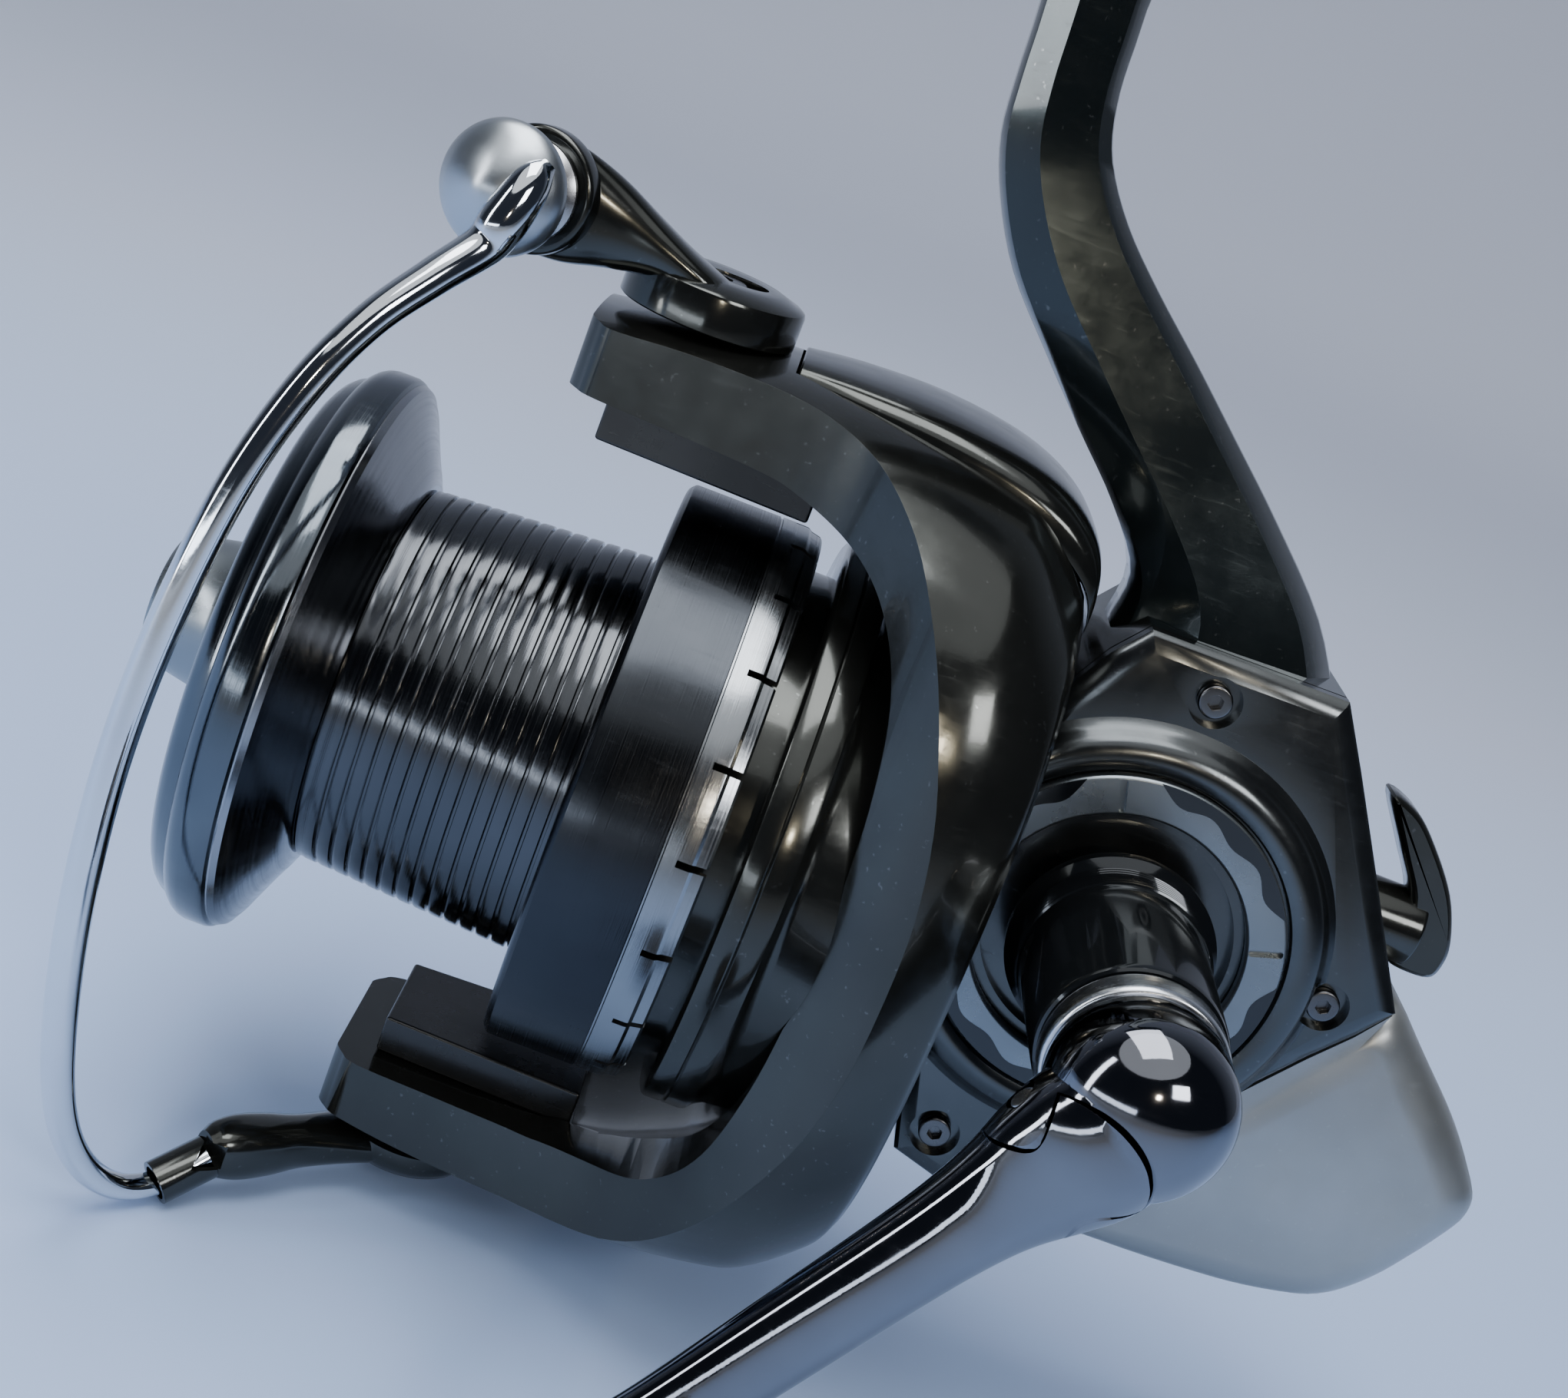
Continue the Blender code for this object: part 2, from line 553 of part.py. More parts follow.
def crank_body_shape():
    """Outer form shared by the knuckle and the arm: a ball on the shaft that runs out into the arm."""
    ball = turned([(-50.3, 0), (-50.3, 9.2), (-52.5, 9.8)]
                  + [(-56.4 - 7.4 * sin(radians(a)), 9.8 * cos(radians(a))) for a in range(0, 90, 22)]
                  + [(-63.8, 0)], steps=24, **ON_DRIVE)
    turns = [2 * pi * k / 16 for k in range(16)]
    sections = [[Vector((far, wide * cos(a), rise + thick * sin(a))) for a in turns]
                for far, wide, thick, rise in CRANK_BODY]
    return join(ball, folded(loft(sections)))


def fold_sector(radius, start, end, reach=90.0):
    """Wedge round the fold pin, outside a radius, between two angles from the arm towards the outside."""
    return folded(prism(arc((0, 0), radius, start, end, 12) + arc((0, 0), reach, end, start, 8), -14.0, 14.0))


def build_knuckle():
    """Round head on the crank shaft, ending in a slotted barrel that carries the fold pin."""
    slot = folded(prism([(-4.4, -9.0), (16.0, -9.0), (16.0, 9.0), (-4.4, 9.0)], -2.5, 2.5))
    bore = folded(rod(1.85, -14, 14, along=Y, steps=16))
    head = cut(crank_body_shape(), fold_sector(BARREL_R, -92, 142), slot, bore)
    add("crank_knuckle", head, "dark_chrome", "crank")
    centre, arm, pin, out = fold_frame()
    screw = rod(1.5, -7.6, 7.6, at=centre, along=pin, steps=16, chamfer=0.3)
    add("fold_pin", screw, "steel", "crank")


def build_handle():
    """Arm whose root wraps the outer side of the barrel, with a tongue on the fold pin."""
    centre, arm, pin, out = fold_frame()
    shell = combine(crank_body_shape(), fold_sector(BARREL_R + GAP, -43, 138), "INTERSECT")
    tongue = folded(prism(rounded([(-3.6, -3.6), (8.0, -3.6), (8.0, 3.6), (-3.6, 3.6)], 3.0, 3), -2.15, 2.15))
    hole = folded(rod(1.85, -14, 14, along=Y, steps=16))
    knob_at = Vector(AXLES["knob"])
    axle_hole = rod(1.9, -20, 20, at=knob_at, along=out, steps=16)
    add("crank_arm", cut(join(shell, tongue), hole, axle_hole), "dark_chrome", "handle")
    post = turned([(-1.0, 0), (-1.0, 1.55), (5.0, 1.55), (5.0, 3.4), (6.0, 3.4), (6.0, 2.2), (30.9, 2.2),
                   (30.9, 0)], steps=20, at=knob_at + out * -1.0, along=out)
    add("knob_axle", post, "steel", "handle")


def build_knob():
    knob_at, out = Vector(AXLES["knob"]), Vector((0, -1, 0))
    base = 5.4
    grip = turned([(base, 2.55), (base, 6.1), (base + 1.2, 7.7), (base + 5, 8.8), (base + 12, 10.4),
                   (base + 20, 11.7), (base + 24.4, 11.3), (base + 26.6, 9.8), (base + 26.6, 5.6),
                   (base + 21.6, 5.6), (base + 21.6, 2.55)], steps=24, at=knob_at, along=out)
    add("knob_grip", grip, "soft_black", "knob")
    cap = turned([(base + 25.0, 0), (base + 25.0, 5.2), (base + 27.0, 5.2), (base + 27.6, 4.4),
                  (base + 27.6, 0)], steps=28, at=knob_at, along=out)
    add("knob_cap", cap, "bright_alloy", "knob")


# ---------------------------------------------------------------- rotor and what turns with it
def rotor_section(x, half_width, half_height, power=2.6, steps=20):
    """Rounded section of the rotor's outer skin."""
    points = []
    for k in range(steps):
        a = 2 * pi * (k + 0.5) / steps
        c, s = cos(a), sin(a)
        reach = (abs(c) ** power + abs(s) ** power) ** (-1 / power)
        points.append(Vector((x, half_width * reach * c, half_height * reach * s)))
    return points


ROTOR_SKIN = [(-80.6, 36.0, 53.2), (-69.0, 37.0, 54.6), (-56.0, 38.0, 55.2), (-42.0, 38.8, 54.8),
              (-31.0, 39.0, 53.4), (-25.0, 38.8, 51.4), (-19.0, 37.2, 46.0), (-17.4, 36.0, 43.0)]
ROTOR_HOLLOW = [(-82.0, 33.0, 44.4), (-50.0, 33.2, 44.4), (-38.0, 33.6, 40.0), (-32.0, 33.8, 36.4),
                (-16.0, 33.8, 34.6)]


def plan_outline():
    """Top view: narrow arms that flare out into the round body."""
    flare = [(-81.5, 8.5), (-80.2, 11.0), (-77.0, 12.6), (-66.0, 13.6), (-55.0, 15.2), (-47.0, 19.0),
             (-40.5, 25.0), (-35.0, 31.0), (-30.0, 35.6), (-26.5, 37.9), (-24.0, 39.0), (-21.0, 40.4),
             (-15.0, 41.0)]
    smooth = [(p.x, p.y) for p in curve_through([(x, y, 0) for x, y in flare], 1)]
    return [(x, -y) for x, y in smooth] + [(x, y) for x, y in reversed(smooth)]


def side_outline():
    """Side view of the open middle, in front of the rotor's body."""
    edge = [(-90.0, 44.6), (-60.0, 44.2), (-52.0, 43.4), (-44.0, 40.8), (-39.0, 36.4), (-35.4, 29.0),
            (-33.4, 18.0), (-32.6, 6.0)]
    smooth = [(p.x, p.z) for p in curve_through([(x, 0, z) for x, z in edge], 2)]
    return smooth + [(x, -z) for x, z in reversed(smooth)]


def build_rotor():
    skin = loft([rotor_section(x, w, h) for x, w, h in ROTOR_SKIN])
    hollow = loft([rotor_section(x, w, h, 2.3) for x, w, h in ROTOR_HOLLOW])
    plan = prism(plan_outline(), -70, 70, "Z")
    window = prism(side_outline(), -60, 60)
    frame = cut(combine(skin, plan, "INTERSECT"), hollow, window)
    cup = turned([(-61.0, 28.6), (-61.0, 30.6), (-60.4, 31.0), (-43.8, 31.0), (-43.8, 36.2),
                  (-38.2, 36.2), (-36.4, 34.6), (-24.0, 34.6), (-24.0, 32.6), (-40.6, 32.6),
                  (-40.6, 9.0), (-42.2, PINION_R + GAP), (-49.6, PINION_R + GAP), (-49.6, 9.0),
                  (-44.0, 10.0), (-43.4, 28.6)], steps=32, **ON_SPOOL)
    rotor = join(frame, cup)
    screws = [rod(1.9, 40, 60, at=(BAIL_X, 0, 0), along=(0, 0, s), steps=16) for s in (1, -1)]
    cover_seats = [cover_shape(side, 0.35) for side in (1, -1)]
    spring_room = rod(2.9, -51.0, -38.0, at=(0, 0, 48.6), along=X, steps=16)
    lugs = [prism([(-29.0, 28.2), (-25.0, 28.2), (-25.0, 34.0), (-29.0, 34.0)], y - 0.9, y + 0.9)
            for y in (-3.7, 3.7)]
    pivot_bore = rod(1.3, -5, 5, at=(AXLES["trip"][0], 0, AXLES["trip"][2]), along=Y, steps=12)
    rotor = cut(join(rotor, *lugs), pivot_bore, inner_plate_shape(1, GAP), inner_plate_shape(-1, GAP))
    add("rotor", cut(rotor, *screws, *cover_seats, spring_room), "gunmetal", "rotor")
    for side, name in ((1, "upper"), (-1, "lower")):
        add(name + "_arm_cover", cover_shape(side, 0.0), "gunmetal", "rotor")
        add(name + "_inner_plate", inner_plate_shape(side), "black_plastic", "rotor")
    build_pinion()


def cover_shape(side, grow):
    """Curved lid on the back of a rotor arm."""
    rows = [(-57.0, 8.4, 55.9, 52.6), (-50.0, 10.6, 56.6, 52.2), (-40.0, 12.4, 56.8, 51.4),
            (-30.0, 13.4, 55.6, 50.0), (-23.0, 13.6, 53.2, 47.6), (-18.4, 13.2, 49.6, 44.4),
            (-16.6, 12.4, 45.4, 40.6), (-16.4, 11.6, 40.0, 36.6)]
    sections = []
    for k, (x, half, top, low) in enumerate(rows):
        x += grow * ((k == len(rows) - 1) - (k == 0))
        h, t, b = half + grow, top + (grow + 3 if grow else 0), low - grow
        sections.append([Vector((x, y * h, side * z)) for y, z in
                         ((-1, b), (-1, b + 0.5 * (t - b)), (-0.8, b + 0.85 * (t - b)), (-0.4, t), (0.4, t),
                          (0.8, b + 0.85 * (t - b)), (1, b + 0.5 * (t - b)), (1, b))])
    return loft(sections)


def inner_plate_shape(side, grow=0.0):
    """Flat dark plate that closes the inside of a rotor arm."""
    g = grow
    plate = prism([(-76.0 - g, -8.0 - g), (-76.0 - g, 8.0 + g), (-50.0 + g, 9.6 + g), (-50.0 + g, -9.6 - g)],
                  39.2 - g, ARM_IN_Z - GAP + g * 0.5, "Z")
    if side < 0:
        plate.transform(Matrix.Rotation(pi, 4, "X"))
    return plate


def tooth_outline(count, root, tip, centre):
    """Outline of a small spur gear."""
    points = []
    for k in range(count * 2):
        radius = tip if k % 2 else root
        a = 2 * pi * (k + 0.5) / (count * 2)
        points.append((centre[0] + radius * cos(a), centre[1] + radius * sin(a)))
    return points


def build_pinion():
    tube_part = ring(SHAFT_R + GAP, PINION_R, -55.0, -6.8, steps=24, **ON_SPOOL)
    outline = tooth_outline(PINION_TEETH, 4.1, 4.9, (0, 0))
    wheels = beside(prism(outline, -22.2, -14.8, "X"), prism(outline, -11.4, -7.6, "X"))
    wheels = cut(wheels, rod(3.4, -30, 0, **ON_SPOOL))
    add("pinion_gear", join(tube_part, wheels), "brass", "rotor")
    add("clutch_sleeve", ring(PINION_R + GAP, 6.2, -40.0, -30.4, **ON_SPOOL), "steel", "rotor")
    add("rotor_nut", hex_nut(7.4, PINION_R + GAP, -53.6, -50.0, **ON_SPOOL), "steel", "rotor")


# ---------------------------------------------------------------- bail
def bail_point(forward, height):
    """A point in the bail's own plane, which leans out to the crank side of the pivot line."""
    lean = radians(BAIL_LEAN)
    return Vector((BAIL_X - forward * cos(lean), -forward * sin(lean), height))


WIRE_ROUTE = [(33.9, 56.4), (36.8, 53.2), (42.3, 49.6), (48.3, 40.3), (53.0, 27.4), (55.9, 12.0),
              (57.1, -4.0), (56.4, -21.0), (54.2, -36.5), (51.0, -48.5), (46.6, -56.4), (40.8, -60.9),
              (34.6, -61.2), (29.4, -58.4)]


def wire_shape(radius):
    return tube(curve_through([bail_point(s, z) for s, z in WIRE_ROUTE], 2), radius, 8)


def build_bail():
    add("bail_wire", wire_shape(WIRE_R), "chrome", "bail")
    cone = turned([(3.5, 0), (3.5, 6.3), (4.2, 6.6), (6.0, 6.4), (9.6, 4.0), (11.4, 2.2), (11.8, 0)],
                  at=ROLLER_AT, along=ROLLER_ALONG, steps=32)
    add("roller_cap", cone, "chrome", "bail")
    build_bail_arms()
    roller = turned([(-2.9, 2.4), (-2.9, 5.6), (-2.2, 5.6), (-1.0, 4.2), (1.0, 4.2), (2.2, 5.6), (2.9, 5.6),
                     (2.9, 2.4)], at=ROLLER_AT, along=ROLLER_ALONG, steps=28)
    add("line_roller", roller, "bright_alloy", "roller")
    bush = ring(1.55, 2.1, -2.9, 2.9, at=ROLLER_AT, along=ROLLER_ALONG, steps=16)
    add("roller_bush", bush, "brass", "bail")
    pin = turned([(-8.4, 0), (-8.4, 2.4), (-7.0, 2.4), (-7.0, 1.2), (3.1, 1.2), (3.1, 0)], at=ROLLER_AT,
                 along=ROLLER_ALONG, steps=16)
    add("roller_screw", pin, "steel", "bail")


def crossways(start, end):
    """Level direction square to the line between two points."""
    flat = Vector((end.x - start.x, end.y - start.y, 0)).normalized()
    return Vector((-flat.y, flat.x, 0))


def build_bail_arms():
    end = ROLLER_AT - ROLLER_ALONG * 5.0
    hub = turned([(55.9, 0), (55.9, 10.4), (57.4, 10.6), (59.4, 9.6), (60.6, 7.4), (61.2, 0)],
                 at=(BAIL_X, 0, 0), along=Z, steps=20)
    start = Vector((BAIL_X, 0, 58.5))
    side = crossways(start, end)
    sections = []
    for s, wide, thick, rise in ((0.0, 7.6, 2.2, 0.0), (0.25, 6.4, 2.4, 0.6), (0.5, 4.4, 3.2, 0.9),
                                 (0.75, 2.6, 4.8, 0.6), (0.93, 1.7, 6.2, 0.2)):
        at = start.lerp(end, s) + Vector((0, 0, rise))
        sections.append([at + side * wide * cos(a) + Vector((0, 0, thick * sin(a)))
                         for a in (2 * pi * k / 12 for k in range(12))])
    blade = loft(sections)
    eye = rod(7.0, -6.4, -3.2, at=ROLLER_AT, along=ROLLER_ALONG, steps=20)
    arm = join(hub, blade, eye)
    screw_hole = rod(1.9, 50, 70, at=(BAIL_X, 0, 0), along=Z, steps=10)
    head_hole = rod(3.6, 58.6, 70, at=(BAIL_X, 0, 0), along=Z, steps=14)
    pin_hole = rod(1.5, -20, 3.2, at=ROLLER_AT, along=ROLLER_ALONG, steps=10)
    pin_head = rod(2.7, -20, -6.0, at=ROLLER_AT, along=ROLLER_ALONG, steps=12)
    add("bail_arm", cut(arm, screw_hole, head_hole, pin_hole, pin_head), "gunmetal", "bail")
    foot = bail_point(27.0, -57.4)
    hub = turned([(55.9, 0), (55.9, 9.4), (57.0, 9.8), (59.6, 9.0), (60.6, 7.0), (60.6, 0)],
                 at=(BAIL_X, 0, 0), along=(0, 0, -1), steps=20)
    sections = []
    start = Vector((BAIL_X, 0, -58.2))
    side = crossways(start, foot)
    for s, wide, thick in ((0.0, 6.6, 2.0), (0.35, 4.6, 2.6), (0.7, 3.4, 3.4), (0.95, 3.4, 3.8),
                           (1.1, 2.4, 3.0)):
        at = start.lerp(foot, s)
        sections.append([at + side * wide * cos(a) + Vector((0, 0, thick * sin(a)))
                         for a in (2 * pi * k / 12 for k in range(12))])
    lever = join(hub, loft(sections))
    screw_hole = rod(1.9, 50, 70, at=(BAIL_X, 0, 0), along=(0, 0, -1), steps=10)
    head_hole = rod(3.6, 58.8, 70, at=(BAIL_X, 0, 0), along=(0, 0, -1), steps=14)
    add("bail_lever", cut(lever, screw_hole, head_hole, wire_shape(WIRE_R + GAP)), "gunmetal", "bail")
    for name, s in (("upper", 1), ("lower", -1)):
        screw = screw_shape((BAIL_X, 0, s * 58.9), (0, 0, s), head_r=3.1, head=1.5, shank_r=1.5, length=12.0)
        add("bail_pivot_screw_" + name, screw, "steel", "rotor")


def build_bail_mechanism():
    """Spring and trip lever that live between the upper arm and its cover."""
    turns, radius, per_turn = 5, 2.0, 8
    path = [Vector((-50.0 + 11.0 * k / (turns * per_turn), radius * cos(2 * pi * k / per_turn),
                    48.6 + radius * sin(2 * pi * k / per_turn))) for k in range(turns * per_turn + 1)]
    add("bail_spring", tube(path, 0.45, 4), "steel", "rotor")
    side = [(-33.0, 29.0), (-21.0, 28.4), (-20.0, 30.0), (-30.0, 31.3), (-33.0, 31.0)]
    lever = prism(rounded(side, 0.9, 2), -2.2, 2.2)
    pivot = rod(1.0, -4.2, 4.2, at=(AXLES["trip"][0], 0, AXLES["trip"][2]), along=Y, steps=12)
    add("trip_lever", join(lever, pivot), "black_metal", "trip")


# ---------------------------------------------------------------- spool, drag and main shaft
def build_spool():
    """Drum and skirt in one turning, its bright lip, and the drag discs inside the front of the drum."""
    outer = [(-97.4, 20.4), (-97.4, 22.8), (DRUM_FRONT, 22.8), (DRUM_FRONT, DRUM_FRONT_R),
             (DRUM_REAR, DRUM_REAR_R)]
    skirt = [(SKIRT_FRONT, 26.0), (SKIRT_FRONT, 34.9), (SKIRT_FRONT + 0.8, SKIRT_R - 0.1),
             (-48.4, SKIRT_R), (SKIRT_REAR, SKIRT_R - 0.4), (SKIRT_REAR, 34.0)]
    inner = [(-61.8, 34.0), (-61.8, 23.8), (-86.6, 22.0), (-86.6, 6.4), (-82.0, 6.0), (-82.0, 3.2),
             (-91.0, 3.2), (-91.0, 20.4)]
    spool = turned(outer + skirt + inner, steps=40, **ON_SPOOL)
    for k in range(SKIRT_SLOTS):
        turn = 2 * pi * (k + 0.5) / SKIRT_SLOTS
        slot = prism([(-52.6, -0.55), (-48.9, -0.55), (-48.9, 0.55), (-52.6, 0.55)], 35.0, 37.0, "Z")
        slot.transform(Matrix.Rotation(turn, 4, "X"))
        spool = cut(spool, slot)
    add("spool", spool, "dark_alloy", "spool")
    crown = [(-106.6, 21.4), (-106.6, 31.8), (-105.8, 33.0), (-103.4, 34.2), (-102.2, LIP_R),
             (-98.8, LIP_R), (-97.6, 34.6), (-95.4, 30.2), (-93.6, 26.4), (-92.7, 24.0), (-92.7, 23.2),
             (-97.8, 23.2), (-97.8, 21.4)]
    add("spool_lip", turned(crown, steps=40, **ON_SPOOL), "bright_alloy", "spool")
    for k, (kind, finish) in enumerate((("felt", "felt"), ("steel", "steel")) * 2):
        lo = -92.5 - 1.55 * k
        disc = ring(SHAFT_R + GAP, 19.8, lo, lo + 1.15, steps=28, **ON_SPOOL)
        add("drag_disc_%s_%d" % (kind, k // 2 + 1), disc, finish, "spool")


def build_drag_knob():
    outer = turned([(-99.4, 0), (-99.4, 19.6), (-100.4, 20.6), (-105.6, 20.6), (-107.0, 19.8),
                    (-108.6, 15.0), (-109.8, 11.0), (-111.4, 9.6), (-117.8, 8.3), (-118.8, 7.5),
                    (-118.8, 0)], steps=24, **ON_SPOOL)
    nut_room = rod(7.0, -110.4, -98.0, steps=6, **ON_SPOOL)
    shaft_room = rod(SHAFT_R + GAP, -114.0, -98.0, **ON_SPOOL)
    add("drag_knob", cut(outer, nut_room, shaft_room), "black_metal", "drag")
    add("drag_nut", hex_nut(6.4, SHAFT_R + GAP, -109.8, -106.4, **ON_SPOOL), "brass", "drag")
    turns, per_turn = 3, 9
    path = [Vector((-106.0 + 6.0 * k / (turns * per_turn), 4.6 * cos(2 * pi * k / per_turn),
                    4.6 * sin(2 * pi * k / per_turn))) for k in range(turns * per_turn + 1)]
    add("drag_spring", tube(path, 0.5, 4), "steel", "drag")


def build_main_shaft():
    add("main_shaft", rod(SHAFT_R, -112.0, 26.0, steps=20, chamfer=0.3, **ON_SPOOL), "steel", "shaft")
    block = prism(rounded([(-5.1, -21.6), (7.0, -21.6), (7.0, 3.2), (-5.1, 3.2)], 1.0, 2), 22.0, 31.0, "X")
    worm_bore = rod(3.0 + GAP, 0, 60, at=(0, *WORM_AT), along=X)
    rod_bore = rod(1.2 + GAP, 0, 60, at=(0, *GUIDE_AT), along=X, steps=12)
    shaft_bore = rod(SHAFT_R + GAP, 0, 26.4, steps=20, **ON_SPOOL)
    add("slider_block", cut(block, worm_bore, rod_bore, shaft_bore), "bright_alloy", "shaft")
    seat = ring(SHAFT_R + GAP, 5.6, -81.6, -78.0, steps=24, **ON_SPOOL)
    add("spool_seat", seat, "brass", "shaft")


def build_worm():
    """Cross-wind worm with its gear at the pinion end."""
    turns, length, start = 6, 43.0, -6.8            # thread from x = start; journals at both ends
    profile = [(start - 5.0, 0), (start - 5.0, 1.6), (start - 0.2, 1.6), (start - 0.2, 3.0)]
    for k in range(turns):
        x = start + length * (k + 0.5) / turns
        profile += [(x - 1.0, 3.0), (x - 0.5, 2.2), (x + 0.5, 2.2), (x + 1.0, 3.0)]
    profile += [(start + length, 3.0), (start + length, 1.6), (start + length + 9.0, 1.6),
                (start + length + 9.0, 0)]
    add("oscillation_worm", turned(profile, at=(0, *WORM_AT), along=X, steps=10), "brass", "worm")
    wheel = prism(tooth_outline(WORM_TEETH, 5.6, 6.5, WORM_AT), -11.2, -7.8, "X")
    wheel = cut(wheel, rod(1.6 + GAP, -25, 0, at=(0, *WORM_AT), along=X, steps=16))
    add("oscillation_gear", wheel, "brass", "worm")


# ---------------------------------------------------------------- anti-reverse lever
def build_lever():
    stub = rod(4.8, 27.4, 38.0, at=(0, 0, LEVER_Z), along=X, chamfer=0.3)
    outline = [(p.x, p.z) for p in curve_through(
        [(27.6, 0, 32.4), (31.4, 0, 31.6), (35.4, 0, 28.2), (39.6, 0, 23.4), (42.2, 0, 18.4), (42.8, 0, 15.2),
         (41.8, 0, 12.6), (37.4, 0, 12.4), (36.0, 0, 13.6), (36.2, 0, 17.0), (35.2, 0, 21.6),
         (31.6, 0, 26.6)], 2, closed=True)]
    hook = prism(outline, -3.0, 3.0)
    add("anti_reverse_lever", join(stub, hook), "gunmetal", "lever")


def main():
    build_case()
    build_side_plate()
    build_case_fasteners()
    build_rear_guard()
    build_case_internals()
    build_crank()
    build_handle()
    build_knob()
    build_rotor()
    build_bail()
    build_bail_mechanism()
    build_spool()
    build_drag_knob()
    build_main_shaft()
    build_worm()
    build_lever()


for leftover in list(bpy.data.objects):
    bpy.data.objects.remove(leftover, do_unlink=True)
axles = make_axles()
main()
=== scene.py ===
"""Looks of the long-cast spinning reel: fine meshes, finishes, floor, lights and camera.

Shapes are written in millimetres: X along the spool axis (front is -X), the crank at -Y, +Z up to the rod,
and zero on the spool axis at the crank's X.  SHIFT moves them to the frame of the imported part.
"""

from math import cos, pi, radians, sin, sqrt

import bmesh
import bpy
from mathutils import Matrix, Vector


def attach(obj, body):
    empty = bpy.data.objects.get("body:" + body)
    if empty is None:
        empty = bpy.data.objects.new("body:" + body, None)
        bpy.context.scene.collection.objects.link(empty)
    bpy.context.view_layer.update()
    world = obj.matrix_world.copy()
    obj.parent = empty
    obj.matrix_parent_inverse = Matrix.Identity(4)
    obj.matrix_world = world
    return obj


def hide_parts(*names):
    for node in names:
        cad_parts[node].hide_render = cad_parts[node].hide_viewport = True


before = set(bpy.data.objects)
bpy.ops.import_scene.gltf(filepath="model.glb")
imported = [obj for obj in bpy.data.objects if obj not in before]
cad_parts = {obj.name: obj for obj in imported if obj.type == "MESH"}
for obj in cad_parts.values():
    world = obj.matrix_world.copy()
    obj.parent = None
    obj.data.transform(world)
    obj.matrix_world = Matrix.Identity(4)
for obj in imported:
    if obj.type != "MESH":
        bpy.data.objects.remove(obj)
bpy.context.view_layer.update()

MM = 0.001
SHIFT = Vector((41.0, 0.0, -120.0))     # from the millimetre frame to the row frame
WELD = 0.002                            # corners closer than this are one corner
GAP = 0.35                              # room round the fold and the inner plates
X, Y, Z = (1, 0, 0), (0, 1, 0), (0, 0, 1)
DRIVE_Z = 7.7                           # height of the crank's axis over the spool's
ON_SPOOL = {"at": (0, 0, 0), "along": X}
ON_DRIVE = {"at": (0, 0, DRIVE_Z), "along": Y}
BAIL_X = -69.0                          # where the bail pivots
BAIL_LEAN = radians(45)                 # how far the bail's plane leans to the crank side
ROLLER_AT = Vector((-91.9, -14.2, 63.2))
ROLLER_ALONG = Vector((-0.26, -0.966, 0.0)).normalized()
ON_ROLLER = {"at": ROLLER_AT, "along": ROLLER_ALONG}
CRANK_ALONG = Vector((-0.574, 0.0, -0.819)).normalized()
OUT = Vector((0, -1, 0))
FOLD_AT = Vector((0, -57.0, DRIVE_Z)) + CRANK_ALONG * 9.0
FOLD_PIN = OUT.cross(CRANK_ALONG).normalized()
KNOB_AT = Vector((0, -67.6, DRIVE_Z)) + CRANK_ALONG * 67.4
FLOOR_Z = -0.1839                       # metres, in the row frame
CAMERA_LENS = 48.758
CAMERA_PLACE = ((0.932348, -0.357183, -0.056098, -0.017827),
                (0.060147, 0.306213, -0.950061, -0.244578),
                (0.356524, 0.882414, 0.306980, -0.025213),
                (0.000000, 0.000000, 0.000000, 1.000000))


def added(name, data):
    """A new object in the scene."""
    item = bpy.data.objects.new(name, data)
    bpy.context.scene.collection.objects.link(item)
    return item


def used_up(shape, name):
    """The shape as a mesh; the shape itself is freed."""
    mesh = bpy.data.meshes.new(name)
    shape.to_mesh(mesh)
    shape.free()
    return mesh


# ---------------------------------------------------------------- shape tools (millimetres)
def outward(shape):
    """Turn every face to the outside."""
    bmesh.ops.recalc_face_normals(shape, faces=shape.faces)
    if shape.calc_volume(signed=True) < 0:
        bmesh.ops.reverse_faces(shape, faces=shape.faces)
    return shape


def placed(shape, at=(0, 0, 0), along=(0, 0, 1)):
    """Point the shape's Z along a direction and move it."""
    turn = Vector(along).to_track_quat("Z", "Y").to_matrix().to_4x4()
    shape.transform(Matrix.Translation(Vector(at)) @ turn)
    return shape


def turned(profile, at=(0, 0, 0), along=(0, 0, 1), steps=128):
    """Solid of revolution from (height, radius) pairs that end on the axis or close on themselves."""
    shape = bmesh.new()
    rings = []
    for height, radius in profile:
        if radius < 1e-6:
            rings.append([shape.verts.new((0, 0, height))])
        else:
            rings.append([shape.verts.new((radius * cos(2 * pi * (k + 0.5) / steps),
                                           radius * sin(2 * pi * (k + 0.5) / steps), height))
                          for k in range(steps)])
    on_axis = len(rings[0]) == 1 and len(rings[-1]) == 1
    for one, two in list(zip(rings, rings[1:])) + ([] if on_axis else [(rings[-1], rings[0])]):
        for k in range(steps):
            n = (k + 1) % steps
            corners = [one[k % len(one)], one[n % len(one)], two[n % len(two)], two[k % len(two)]]
            face = [c for i, c in enumerate(corners) if c not in corners[:i]]
            if len(face) > 2:
                shape.faces.new(face)
    return placed(outward(shape), at, along)


def rod(radius, lo, hi, at=(0, 0, 0), along=(0, 0, 1), steps=64):
    return turned([(lo, 0), (lo, radius), (hi, radius), (hi, 0)], at, along, steps)


def prism(outline, lo, hi, normal="Y"):
    """Flat outline pushed along an axis.  Outline axes: Y -> (x, z), Z -> (x, y), X -> (y, z)."""
    spot = {"Y": lambda a, b, n: (a, n, b), "Z": lambda a, b, n: (a, b, n), "X": lambda a, b, n: (n, a, b)}
    shape = bmesh.new()
    low = [shape.verts.new(spot[normal](a, b, lo)) for a, b in outline]
    high = [shape.verts.new(spot[normal](a, b, hi)) for a, b in outline]
    shape.faces.new(low)
    shape.faces.new(high)
    for k in range(len(outline)):
        n = (k + 1) % len(outline)
        shape.faces.new((low[k], low[n], high[n], high[k]))
    return outward(shape)


